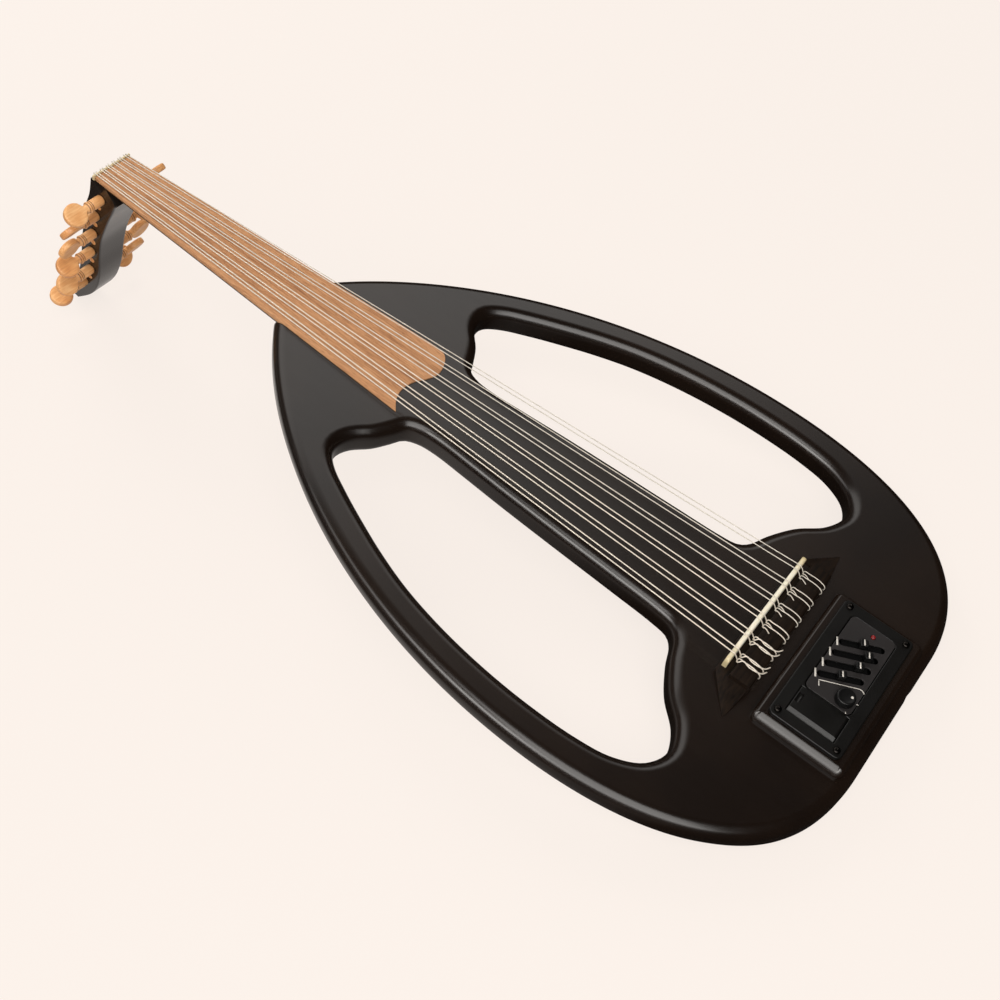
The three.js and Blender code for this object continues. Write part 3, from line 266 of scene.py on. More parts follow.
def cubic(a, b, c, d, steps):
    """A cubic Bezier curve: each point is the four control points weighed by Bernstein's terms."""
    t = np.linspace(0, 1, steps)[:, None]
    a, b, c, d = (np.array(p, float) for p in (a, b, c, d))
    return a * (1 - t) ** 3 + 3 * b * t * (1 - t) ** 2 + 3 * c * t ** 2 * (1 - t) + d * t ** 3


def even(points, count, closed=False):
    """The same line with its points at equal distances along it."""
    line = np.vstack([points, points[:1]]) if closed else points
    along = np.concatenate([[0], np.cumsum(np.linalg.norm(np.diff(line, axis=0), axis=1))])
    wanted = np.linspace(0, along[-1], count + 1 if closed else count)
    line = np.stack([np.interp(wanted, along, line[:, k]) for k in range(line.shape[1])], axis=1)
    return line[:-1] if closed else line


def ring_through(stations):
    """A closed curve through stations, 12 steps from one to the next: a cubic whose end slopes
    weigh the neighbouring chords by the square root of their lengths."""
    p0, p1, p2, p3 = (np.roll(stations, k, axis=0)[:, None] for k in (1, 0, -1, -2))
    d0, d1, d2 = (np.linalg.norm(b - a, axis=2, keepdims=True) ** 0.5
                  for a, b in ((p0, p1), (p1, p2), (p2, p3)))
    m1 = ((p1 - p0) / d0 - (p2 - p0) / (d0 + d1) + (p2 - p1) / d1) * d1
    m2 = ((p2 - p1) / d1 - (p3 - p1) / (d1 + d2) + (p3 - p2) / d2) * d1
    t = (np.arange(12) / 12)[None, :, None]
    curve = p1 + m1 * t + (3 * (p2 - p1) - 2 * m1 - m2) * t ** 2 + (2 * (p1 - p2) + m1 + m2) * t ** 3
    return curve.reshape(-1, stations.shape[1])


def body_outline():
    """Down the treble side in two cubics, whose inner control points are pulled by shares of the
    way, along the tail's short flat, which is slightly hollow, and up the bass side."""
    wide, low, corner = body_half_width, body_widest_at, body_tail_flat_half
    start, reach = board_half(neck_joint_at) + gap, neck_joint_at - low
    shoulder = [start + shoulder_out * (wide - start), neck_joint_at - shoulder_pull * reach]
    flank = cubic([start, neck_joint_at], shoulder, [wide, low + flank_pull * reach], [wide, low], 200)
    bout = cubic([wide, low], [wide, low - bout_pull * (body_tail + low)],
                 [corner + corner_pull * (wide - corner), -body_tail], [corner, -body_tail], 120)
    treble = even(np.vstack([flank, bout[1:]]), 190)
    tail = np.linspace(treble[-1], treble[-1] * [-1, 1], 24)[1:-1]
    tail[:, 1] += body_tail_hollow * (1 - (tail[:, 0] / corner) ** 2)
    return np.vstack([treble, tail, treble[::-1] * [-1, 1]])[::-1]


def window_outline(side):
    """The window's stations as shares of the wood between spine and rim, joined by a curve."""
    across = spine_half_width + window_shares[:, 0] * (body_half_width - rim_width - spine_half_width)
    along = window_tail + window_shares[:, 1] * (window_head - window_tail)
    ring = even(ring_through(np.stack([across * side, along], axis=1)), 190, closed=True)
    return ring[::-1] if side > 0 else ring


def lower_round(outline):
    """The radius of the lower edge: that of the upper one at the tail and at the neck, and wider by
    two smooth steps along the flanks."""
    rise = (outline[:, 1] + body_tail - tail_round_from) / tail_round_over
    fall = (neck_joint_at - neck_round_from - outline[:, 1]) / neck_round_over
    return body_edge_radius + (body_flank_radius - body_edge_radius) * smooth(rise) * smooth(fall)


def grid_faces(rows, columns, start=0):
    """The four-sided faces between rows of points that each close into a ring."""
    r = np.arange(rows - 1)[:, None] * columns
    c = np.arange(columns)[None, :]
    right = (c + 1) % columns
    quads = np.stack([r + c, r + right, r + columns + right, r + columns + c], axis=-1)
    return (quads.reshape(-1, 4) + start).tolist()


def leftward(loop):
    """At each corner of a loop the step to its left that keeps both edges at unit distance."""
    edge = np.roll(loop, -1, axis=0) - loop
    edge /= np.linalg.norm(edge, axis=1, keepdims=True)
    normal = np.stack([-edge[:, 1], edge[:, 0]], axis=1)
    before = np.roll(normal, 1, axis=0)
    return (normal + before) / np.maximum(1 + (normal * before).sum(1, keepdims=True), 0.5)


def rounded_slab(loops, low, high, radius, steps=10, lip=0.5, under=()):
    """A flat piece between two heights. The wood lies to the left of each loop, and each edge is
    a quarter round below, a straight band and a quarter round above. Under gives the first loops
    a lower round of their own, as one radius for each point."""
    turn = np.linspace(0, math.pi / 2, steps + 1)[:, None]
    points, faces, feet, heads, start = [], [], [], [], 0
    for k, loop in enumerate(loops):
        level = np.ones(len(loop))
        upper = radius * level
        lower = under[k] if k < len(under) else upper
        inset = np.vstack([lower + lip, lower * (1 - np.sin(turn)), (upper * (1 - np.sin(turn)))[::-1],
                           upper + lip])
        height = np.vstack([low * level, low + lower * (1 - np.cos(turn)),
                            (high - upper * (1 - np.cos(turn)))[::-1], high * level])
        flat = loop[None] + inset[..., None] * leftward(loop)[None]
        rows = np.concatenate([flat, height[..., None]], axis=2)
        faces += grid_faces(len(rows), len(loop), start)
        feet.append((start, rows[0]))
        heads.append((start + (len(rows) - 1) * len(loop), rows[-1]))
        points.append(rows.reshape(-1, 3))
        start += len(points[-1])
    for rims, downward in ((feet, True), (heads, False)):
        line = np.vstack([rim for _, rim in rims])
        place = np.concatenate([np.arange(first, first + len(rim)) for first, rim in rims])
        tri = np.array(tessellate_polygon([[Vector(p) for p in rim] for _, rim in rims]))
        a, b, c = (line[tri[:, k]] for k in range(3))
        wrong = (np.cross(b - a, c - a)[:, 2] < 0) != downward
        tri[wrong] = tri[wrong][:, ::-1]
        faces += place[tri].tolist()
    return np.vstack(points), faces


def closed_rows(rows):
    """A closed shell over rings of as many points, with a flat face over each end."""
    count, size = rows.shape[:2]
    lids = [list(range(size))[::-1], list(range((count - 1) * size, count * size))]
    return rows.reshape(-1, 3), grid_faces(count, size) + lids


def meshed(name, shell):
    """A mesh of a shell of the flat drawing, where it lies on the table."""
    mesh = bpy.data.meshes.new(name)
    mesh.from_pydata(placed(shell[0]).tolist(), [], shell[1])
    return mesh


def piece(name, shell, material, node, body="instrument", crease=None, groove_shade=None):
    """Makes a shell of the flat drawing into an object on a body, in place of a CAD node if one is
    named. Points that fall together are merged, faces are turned outwards, and edges that turn more
    than crease degrees stay sharp. The last gives each point's painted shade, for the material."""
    mesh = meshed(name, shell)
    if groove_shade is not None:
        mesh.attributes.new("groove_shade", "FLOAT", "POINT").data.foreach_set("value", groove_shade)
    work = bmesh.new()
    work.from_mesh(mesh)
    bmesh.ops.remove_doubles(work, verts=work.verts, dist=weld)
    bmesh.ops.dissolve_degenerate(work, edges=work.edges, dist=weld)
    bmesh.ops.recalc_face_normals(work, faces=work.faces)
    work.to_mesh(mesh)
    work.free()
    mesh.materials.append(material)
    mesh.shade_smooth()
    if crease:
        mesh.set_sharp_from_angle(angle=math.radians(crease))
    made = in_scene(name, mesh)
    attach(made, body)
    if node:
        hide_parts(node)
    return made


def carved(target, start, end, radius, sides=64, crease=40):
    """Takes a round bar between two points out of a finished piece: a circle at each end, in the
    plane across the line. The cutter is let go."""
    start, end = np.array(start, float), np.array(end, float)
    line = (end - start) / np.linalg.norm(end - start)
    side = np.cross(line, [1, 0, 0] if abs(line[0]) < 0.9 else [0, 1, 0])
    side /= np.linalg.norm(side)
    angle = angles(sides)[:, None]
    circle = radius * (np.cos(angle) * side + np.sin(angle) * np.cross(line, side))
    cutter = in_scene("cutter", meshed("cutter", closed_rows(np.stack([start + circle, end + circle]))))
    cut = target.modifiers.new("cut", "BOOLEAN")
    cut.operation, cut.solver, cut.object = "DIFFERENCE", "EXACT", cutter
    bpy.context.view_layer.update()
    done = bpy.data.meshes.new_from_object(target.evaluated_get(bpy.context.evaluated_depsgraph_get()))
    target.modifiers.clear()
    target.data = done
    bpy.data.objects.remove(cutter)
    done.set_sharp_from_angle(angle=math.radians(crease))


def in_millimetres(tree, place):
    """Object coordinates turned back by the lean, in millimetres: y runs along the strings."""
    turned = add(tree, "Mapping", {"Vector": place, "Rotation": (-math.atan2(lean_sine, lean_cosine), 0, 0)})
    return add(tree, "VectorMath", {0: turned, 3: 1000.0}, operation="SCALE")


def finish(name, noises, stops, sheen, skin, bump=None, drawn_in_mm=False):
    """A material of up to three noises. The first steers the colour between its stops. The second,
    or else the first, moves the roughness between the two values of sheen, which may also be one
    plain value. The last is the height of a bump, by its strength and distance. A noise may be
    stretched first. Skin holds the shader's other values."""
    material, tree, place = empty_material(name)
    if drawn_in_mm:
        place = in_millimetres(tree, place)
    made = []
    for stretch, inputs in noises:
        at = add(tree, "Mapping", {"Vector": place, "Scale": stretch}) if stretch else place
        made.append(add(tree, "TexNoise", {"Vector": at, **inputs}))
    inputs = {"Base Color": add(tree, "ValToRGB", [made[0]], stops), "Roughness": sheen, **skin}
    if isinstance(sheen, tuple):
        rubbed = made[1] if len(made) > 2 else made[0]
        inputs["Roughness"] = add(tree, "MapRange", [rubbed, 0.3, 0.7, *sheen])
    if bump:
        inputs["Normal"] = add(tree, "Bump", {"Height": made[-1], "Strength": bump[0], "Distance": bump[1]})
    add(tree, "OutputMaterial", [add(tree, "BsdfPrincipled", inputs)])
    return material


# Sprayed black lacquer: very dark, slightly warm, with an even satin sheen that wanders a little,
# hardly any rubbing marks, and the faintest orange peel about 6 mm across.
black_lacquer = finish(
    "satin_black_lacquer",
    [(None, {"Scale": 0.011, "Detail": 3.0}), ((1.0, 0.1, 1.0), {"Scale": 0.3, "Detail": 1.0}),
     (None, {"Scale": 0.16, "Detail": 0.0})],
    [(0.35, linear("#130C08")), (0.7, linear("#1C130D"))], (0.242, 0.258), {"IOR": 1.5},
    (0.05, 0.0001), drawn_in_mm=True)

outline = body_outline()
body_shell = rounded_slab([outline, window_outline(1), window_outline(-1)],
                          -body_thickness, 0, body_edge_radius, under=[lower_round(outline)])
black_body = piece("black_body", body_shell, black_lacquer, "body")
for depth, radius in ((jack_cup_depth, jack_cup_radius), (jack_bore_depth, jack_bore_radius)):
    carved(black_body, [jack_x, -body_tail - 9, jack_z], [jack_x, -body_tail + depth, jack_z], radius)

# Neck: one piece of hardwood with a rounded back, let into the body at the heel and lacquered
# with it. Its top is hidden under the fingerboard, and it grows deeper towards the body.
board_thickness, board_top = 3.3, 1.0
board_bottom = board_top - board_thickness
neck_top = board_bottom - gap
neck_depth_at_nut, neck_depth_at_heel = 10.0, 16.0
neck_edge, neck_into_body = 1.0, 8.0
splice_top, splice_lean = 10.0, 12.0


def neck_shell():
    """Sections along the neck, each flat on top with a parabola for its back. Towards the nut they
    lean back, by the cube of the distance, up to the splice with the pegbox."""
    stations = np.linspace(0, 1, 40)
    foot = neck_joint_at - neck_into_body
    y = foot + (scale_length - splice_top - foot) * stations
    depth = neck_depth_at_heel + (neck_depth_at_nut - neck_depth_at_heel) * (
        (y - neck_joint_at) / (scale_length - neck_joint_at)).clip(0, 1)
    half = (board_half(y) - gap)[:, None]
    a = np.linspace(0, math.pi, 33)
    drop = neck_edge + np.sin(a).clip(0) ** 2 * depth[:, None]
    back = np.stack([-np.cos(a) * half, y[:, None] - splice_lean * stations[:, None] ** 3 * drop
                     / depth[:, None], neck_top - drop], axis=-1)
    edge = np.stack([half[:, 0], y, 0 * y + neck_top], axis=-1)
    return closed_rows(np.concatenate([np.stack([edge, edge * [-1, 1, 1]], axis=1), back], axis=1))


piece("black_neck", neck_shell(), black_lacquer, "neck", crease=50)

# Fingerboard: a plain fretless board of open-grained brown hardwood, planed flat and only oiled.
# It tapers to the nut, is glued on the neck and let into the body, and ends in a wave that rises
# from a sharp tip at the bass side and rounds over a lobe at the treble side.
board_wave = 24.0
# Along the wave, from the bass side: shares of the half width, and of the wave's height.
wave_shares = np.array([
    [-1, 0], [-0.74, 0.27], [-0.43, 0.39], [-0.12, 0.31], [0.16, 0.09], [0.44, -0.01],
    [0.78, 0.15], [0.955, 0.44], [1, 1]])


def line_through(stations, count):
    """An open curve through stations: cubics whose slopes are half the step between neighbours."""
    stations = np.asarray(stations, float)
    t = np.linspace(0, len(stations) - 1, count)
    k = np.minimum(t.astype(int), len(stations) - 2)
    w = (t - k)[:, None]
    p0, p1, p2, p3 = (stations[np.clip(k + d, 0, len(stations) - 1)] for d in (-1, 0, 1, 2))
    m1, m2 = (p2 - p0) / 2, (p3 - p1) / 2
    return (2 * p1 - 2 * p2 + m1 + m2) * w ** 3 + (3 * p2 - 3 * p1 - 2 * m1 - m2) * w ** 2 + m1 * w + p1


def board_outline():
    """Across the nut end, down the bass side, along the wave, and up the treble side."""
    nut_corner = np.array([board_half_at_nut, scale_length - gap])
    wave = wave_shares * [board_half_at_end, board_wave] + [0, board_tip_at]
    wave[-1, 0] = board_half(board_tip_at + board_wave)
    wave = even(line_through(wave, 200), 70)
    bass = np.linspace(nut_corner * [-1, 1], wave[0], 60)[:-1]
    return np.vstack([bass, wave, np.linspace(wave[-1], nut_corner, 60)[1:]])


def open_grained_wood():
    """Oiled hardwood with its grain along y. Broad soft streaks of colour, fine streaks about
    half a millimetre wide, and short dark open pores drawn at about 0.5 by 6 mm, a little coarser
    than real ones so that they show. The pores are also pressed in."""
    material, tree, place = empty_material("oiled_fingerboard_hardwood")
    place = in_millimetres(tree, place)
    dark = linear("#8A5E40")
    wide = add(tree, "Mapping", {"Vector": place, "Scale": (1.0, 0.03, 1.0)})
    broad = add(tree, "TexNoise", {"Vector": wide, "Scale": 0.2, "Detail": 3.0, "Distortion": 0.6})
    fine = add(tree, "TexNoise", {"Vector": wide, "Scale": 2.2, "Detail": 5.0, "Roughness": 0.65})
    mixed = add(tree, "Mix", {"Factor": 0.7, "A": broad, "B": fine})
    colour = add(tree, "ValToRGB", [mixed], [
        (0.36, dark), (0.62, linear("#CE9E74")), (0.49, linear("#BA8860"))])
    short = add(tree, "Mapping", {"Vector": place, "Scale": (1.0, 0.085, 1.0)})
    dots = add(tree, "TexNoise", {"Vector": short, "Scale": 2.0, "Detail": 1.0})
    pore = add(tree, "MapRange", [dots, 0.60, 0.68, 0.0, 1.0])
    pored = add(tree, "Mix", {"Factor": pore, "A": colour, "B": dark}, data_type="RGBA")
    faded = add(tree, "Mix", {"Factor": 0.6, "A": colour, "B": pored}, data_type="RGBA")
    depth = add(tree, "Math", [1.0, pore], operation="SUBTRACT")
    add(tree, "OutputMaterial", [add(tree, "BsdfPrincipled", {
        "Base Color": faded, "Roughness": add(tree, "MapRange", [fine, 0.3, 0.7, 0.54, 0.66]),
        "IOR": 1.45, "Specular IOR Level": 0.35,
        "Normal": add(tree, "Bump", {"Height": depth, "Strength": 0.25, "Distance": 0.0002})})])
    return material


piece("brown_fingerboard", rounded_slab([board_outline()], board_bottom, board_top, 0.35, 4, 0.2),
      open_grained_wood(), "fingerboard")

# Pegbox: bent back from the nut and curved in an S, hollowed from the front so that its walls
# hold the pegs, closed at the back, and lacquered black with the neck. The sides are straight in
# plan and the back is softly squared.
pegbox_drop, pegbox_reach = 163.0, 42.0
pegbox_half_at_nut, pegbox_half_at_end = 18.0, 9.5
pegbox_wall_at_nut, pegbox_wall_growth = 2.0, 1.6
channel_corner = 1.2
# From the nut to the tip, along the open front and the back: shares of the reach and of the drop.
front_shares = np.array([
    [0.1, 0.016], [0.181, 0.123], [0.317, 0.221], [0.424, 0.344], [0.524, 0.472], [0.602, 0.595],
    [0.679, 0.687], [0.765, 0.768], [0.88, 0.84], [0.995, 0.91], [1.083, 0.982]])
back_shares = np.array([
    [-0.452, 0.117], [-0.35, 0.178], [-0.226, 0.248], [-0.095, 0.331], [0.036, 0.429],
    [0.119, 0.546], [0.167, 0.66], [0.235, 0.745], [0.35, 0.825], [0.56, 0.907], [0.917, 0.997]])
splice_shares = np.array([[-splice_top / pegbox_reach, -neck_top / pegbox_drop], [-0.524, 0.09]])


def side_points(shares):
    """Shares of the reach beyond the nut and of the drop below the top, as y and z."""
    return shares * [pegbox_reach, -pegbox_drop] + [scale_length, 0]


def pegbox_wall(share):
    """How thick the side walls are at a share of the length. They are full from a quarter of it."""
    return pegbox_wall_at_nut + pegbox_wall_growth * np.minimum(1, 4 * share)


def pegbox_shell():
    """Closed sections from the splice to the tip. Each goes round the back, which is a superellipse
    quarter a side that squares up beyond the splice, over one rim, round the channel and over the
    other rim. The channel is filled near both ends."""
    t = np.concatenate([[-0.12, -0.115, -0.1, -0.08, -0.05], np.linspace(0, 0.03, 5),
                        np.linspace(0.045, 0.9, 70), np.linspace(0.91, 1, 16)])[:, None]
    inside = np.clip(t, 0, 1)
    lead = np.clip(-t / 0.12, 0, 1)
    pick = np.linspace(0, 1, 401)
    front, back = (np.concatenate([np.interp(inside, pick, line_through(side_points(shares), 401)[:, k])
                                   for k in (0, 1)], axis=1) * (1 - lead) + splice * lead
                   for shares, splice in zip((front_shares, back_shares), side_points(splice_shares)))
    half = pegbox_half_at_nut + (pegbox_half_at_end - pegbox_half_at_nut) * inside
    half = half * (1 - lead) + (board_half(scale_length - splice_top) - gap) * lead
    depth = np.linalg.norm(front - back, axis=1, keepdims=True)
    out = (front - back) / depth
    square = 1 - lead ** 6
    a = np.linspace(0, math.pi / 4, 25) ** 2 / (math.pi / 4)
    a = np.concatenate([a, math.pi / 2 - a[-2::-1]])
    a = np.concatenate([a, math.pi - a[-2::-1]])
    x = -np.sign(np.cos(a)) * np.abs(np.cos(a)) ** (2 / (2 + 28 * square)) * half
    d = np.sin(a).clip(0) ** (2 / (1 + 27 * square)) * depth
    hollow = np.clip((t - 0.004) / 0.012, 0, 1) * np.clip((0.93 - t) / 0.02, 0, 1)
    floor = (depth - (4 - 2 * inside)) * hollow + 0.02
    narrow = half - pegbox_wall(inside)
    u = np.linspace(0, 1, 9)
    side_in = np.concatenate([narrow + 0 * u, narrow - channel_corner * u[4:5]], axis=1)
    deep = np.concatenate([u * (floor - channel_corner * np.sign(floor - 0.03).clip(0)), floor], axis=1)
    ring_x = np.concatenate([x, side_in, -side_in[:, ::-1]], axis=1)
    ring_d = np.concatenate([d, deep, deep[:, ::-1]], axis=1)
    return closed_rows(np.stack([ring_x, front[:, :1] - out[:, :1] * ring_d,
                                 front[:, 1:] - out[:, 1:] * ring_d], axis=-1))


piece("black_pegbox", pegbox_shell(), black_lacquer, "pegbox", crease=48)

# Pegs: twelve turned from an orange-brown fruitwood, six a side. Each has a tapered shaft through
# both walls, a plain stub outside the wall, a groove, a ringed collar, and a flat round head that
# is carved thinner than the shaft and stands at the angle where the player left it.
peg_radius, peg_taper = 3.6, 1 / 60
peg_waist_at, peg_waist_radius = 16.0, 3.2
peg_head_radius, peg_head_half = 9.3, 2.7
peg_head_at = 16.4 + peg_head_radius
peg_grooves = np.array([10.65, 12.4, 14.35])
peg_turns = {"bass": [150, 56, 75, 150, 125, 165], "treble": [128, 68, 22, 107, 120, 58]}
# Outside the wall: the distance from the wall's face and the radius there.
peg_outside = [
    [0.2, peg_radius], [0.35, 3.9], [0.7, 4.12], [1.4, 4.2], [5, 4.25], [9.9, 4.2], [10.25, 4.05],
    [10.5, 3.75], [10.85, 3.75], [11.1, 4.1], [11.7, 4.3], [12.1, 4.1], [12.4, 3.8], [12.7, 4.2],
    [13.05, 4.6], [13.65, 4.6], [14.0, 4.2], [14.3, 3.8], [14.9, 3.5], [peg_waist_at, peg_waist_radius]]


def drawn(point):
    """The reverse of placed: a point on the table in metres, as a point of the flat drawing in mm."""
    return (1000 * np.asarray(point, float) - shift) @ lean


def peg_shell(place, side, turn_degrees):
    """Sections across the peg's line. Along the shaft they are circles. In the head they are as
    wide as a disc is there and as thick as a disc with a soft rim: the half thickness times the
    fourth root of one less the twelfth power of the distance from the disc's middle. The three
    grooves get painted shade, by a bell curve of the distance from each."""
    half = abs(place[0])
    inner = -2 * half - gap
    shaft = np.array([
        [inner, 0.02], [inner + 0.1, 2.2], [inner + 0.5, 3.0], [inner + 1.1, 3.3],
        [inner + 1.8, peg_radius + (inner + 1.8) * peg_taper], [-half, peg_radius - half * peg_taper],
        *peg_outside])
    head = peg_head_at - peg_head_radius * np.cos(np.linspace(0.12, math.pi, 36))
    s = np.concatenate([shaft[:, 0], head])[:, None]
    r = np.concatenate([shaft[:, 1], np.full(len(head), peg_waist_radius)])[:, None]
    phi = angles(48)
    flat = smooth((s - peg_waist_at) / 3.6)
    offset = (s - peg_head_at) / peg_head_radius
    wide = peg_head_radius * np.sqrt((1 - offset ** 2).clip(0))
    disc_a = wide * np.sign(np.cos(phi)) * np.abs(np.cos(phi)) ** 0.4
    rho = np.sqrt((disc_a / peg_head_radius) ** 2 + offset ** 2).clip(0, 1)
    dish = 0.35 * np.exp(-(rho / 0.55) ** 4)
    disc_b = np.sign(np.sin(phi)) * (peg_head_half * (1 - rho ** 12).clip(0) ** 0.25 - dish)
    a = (1 - flat) * r * np.cos(phi) + flat * disc_a
    b = (1 - flat) * r * np.sin(phi) + flat * disc_b
    angle = math.radians(turn_degrees) * side
    normal = np.array([0, -math.sin(angle), math.cos(angle)])
    across = np.cross(normal, [side, 0, 0])
    rows = place + s[..., None] * [side, 0, 0] + a[..., None] * across + b[..., None] * normal
    # Painted shade in the three grooves, by a bell curve of the distance from each.
    groove_shaded = np.exp(-((s - peg_grooves) / 0.3) ** 2).max(axis=1)
    return closed_rows(rows), np.repeat(groove_shaded, phi.size)


def turned_wood():
    """Turned and oiled fruitwood with its grain along the peg: soft streaks about a millimetre
    wide, paler and darker patches, painted brown shade in the grooves, and a satin skin that
    is a little glossier where it is handled."""
    material, tree, place = empty_material("oiled_turned_fruitwood")
    stretched = add(tree, "Mapping", {"Vector": place, "Scale": (90, 900, 900)})
    streak = add(tree, "TexNoise", {"Vector": stretched, "Scale": 0.9, "Detail": 3.0, "Distortion": 0.3})
    cloud = add(tree, "TexNoise", {"Vector": place, "Scale": 60.0, "Detail": 2.0})
    mixed = add(tree, "Math", [streak, cloud], operation="ADD")
    share = add(tree, "Math", [mixed, 0.5], operation="MULTIPLY")
    colour = add(tree, "ValToRGB", [share], [
        (0.36, linear("#D08F5A")), (0.66, linear("#F3C088")), (0.5, linear("#E4A76C"))])
    # Painted shade: the colour darkens to brown in the grooves, where shade would fall.
    groove = add(tree, "Attribute", attribute_name="groove_shade").outputs["Fac"]
    groove_shaded = add(tree, "Mix", {"Factor": groove, "A": colour, "B": linear("#5E3219")}, data_type="RGBA")
    add(tree, "OutputMaterial", [add(tree, "BsdfPrincipled", {
        "Base Color": groove_shaded, "Roughness": add(tree, "MapRange", [cloud, 0.3, 0.7, 0.35, 0.47]),
        "IOR": 1.46,
        "Normal": add(tree, "Bump", {"Height": streak, "Strength": 0.08, "Distance": 0.0002})})])
    return material


peg_wood = turned_wood()
pegs = {}
for joint in frame["joints"]:
    name = joint["child"]
    if name.startswith("peg_"):
        row, number = name.split("_")[1:]
        pegs[name] = drawn(joint["pos_m"])
        shell, groove_shaded = peg_shell(pegs[name], -1 if row == "bass" else 1, peg_turns[row][int(number) - 1])
        piece(f"turned_{row}_peg_{number}", shell, peg_wood, name, name, groove_shade=groove_shaded)

# Nut: a strip of bone across the head end of the fingerboard, with a shallow groove for each
# string, its back edge falling towards the pegbox.
nut_thickness, nut_height, nut_half = 1.8, 1.2, 18.5
nut_course_spacing, nut_pair_gap = 6.0, 2.1
string_count = 12
bass_radius, treble_radius = 0.43, 0.33
number = np.arange(string_count)
course = number // 2
from_middle = course - 2.5
pair_side = np.where(number % 2 == 0, -1, 1)
string_radius = bass_radius + (treble_radius - bass_radius) * course / 5
nut_x = from_middle * nut_course_spacing + pair_side * nut_pair_gap / 2


def grooves(x, centres):
    """How deep the strings sit at x: round notches, each one string radius deep."""
    away = np.abs(x[:, None] - centres[None]) / (string_radius[None] * 1.15)
    return (string_radius[None] * np.sqrt((1 - away ** 2).clip(0))).max(axis=1)


def across_from(x, profile):
    """A profile in y and z, or one for each x, carried along x."""
    rings = np.broadcast_to(profile, (len(x), *np.shape(profile)[-2:]))
    return np.concatenate([np.broadcast_to(x[:, None, None], (*rings.shape[:2], 1)), rings], axis=2)


def nut_shell():
    """A profile in y and z carried across, its top lowered by the grooves."""
    x = np.concatenate([[-nut_half, -nut_half + 0.2], np.linspace(-nut_half + 0.4, nut_half - 0.4, 420),
                        [nut_half - 0.2, nut_half]])
    top = board_top + nut_height
    profile = np.array([
        [0, board_bottom], [0, top - 0.5], [0.12, top - 0.2], [0.4, top], [1.0, top + 0.02],
        [1.3, top - 0.1], [1.5, top - 0.35], [1.7, top - 0.8], [nut_thickness, top - nut_height],
        [nut_thickness, board_bottom]])
    share = np.array([0, 0, 0.6, 1, 1, 1, 0.7, 0.1, 0, 0])
    inset = np.where(np.abs(x) > nut_half - 0.1, 0.25, 0.0)
    z = profile[:, 1] - grooves(x, nut_x)[:, None] * share - inset[:, None]
    y = scale_length + profile[:, 0] + 0 * z
    return closed_rows(across_from(x, np.stack([y, z.clip(board_bottom)], axis=-1))[:, ::-1])


def bone(name, dark, light):
    """Polished bone: warm cream with faint fibres along its length, yellower past 40 mm from the
    middle line, a soft gloss, and a little light that spreads under the skin."""
    material, tree, place = empty_material(name)
    stretched = add(tree, "Mapping", {"Vector": place, "Scale": (120, 1500, 1500)})
    fibre = add(tree, "TexNoise", {"Vector": stretched, "Scale": 1.0, "Detail": 3.0})
    colour = add(tree, "ValToRGB", [fibre], [(0.3, linear(dark)), (0.7, linear(light))])
    side = add(tree, "Math", [add(tree, "SeparateXYZ", [place]).outputs["X"]], operation="ABSOLUTE")
    end = add(tree, "MapRange", [side, 0.036, 0.054, 0.0, 0.8])
    aged = add(tree, "Mix", {"Factor": end, "A": colour, "B": linear("#C2AE76")}, data_type="RGBA")
    add(tree, "OutputMaterial", [add(tree, "BsdfPrincipled", {
        "Base Color": aged, "Roughness": 0.34, "IOR": 1.54, "Subsurface Weight": 0.15,
        "Subsurface Radius": (0.002, 0.0015, 0.001), "Subsurface Scale": 0.5,
        "Normal": add(tree, "Bump", {"Height": fibre, "Strength": 0.05, "Distance": 0.0001})})])
    return material


piece("bone_nut", nut_shell(), bone("worn_bone", "#BFAD84", "#D8C8A2"), "nut", crease=40)

# Bridge: dark brown hardwood, glued on the body. In front is a low base with the saddle's slot,
# behind it a taller block that the strings are tied to, and at each end a low pyramid that runs
# out to a point on the body.
bridge_half, bridge_front, bridge_base = 57.0, 4.0, 3.6
tie_front, tie_back, tie_top = 5.5, 21.0, 8.4
tie_front_round, tie_back_round = 1.2, 2.2
wing_reach, wing_height = 25.0, 4.4
wing_tip = np.array([-17.5, 0.15])


def together(*shells):
    """Several closed shells as one list of points and one of faces."""
    points, faces, start = [], [], 0
    for shell_points, shell_faces in shells:
        points.append(shell_points)
        faces += [[k + start for k in face] for face in shell_faces]
        start += len(shell_points)
    return np.vstack(points), faces


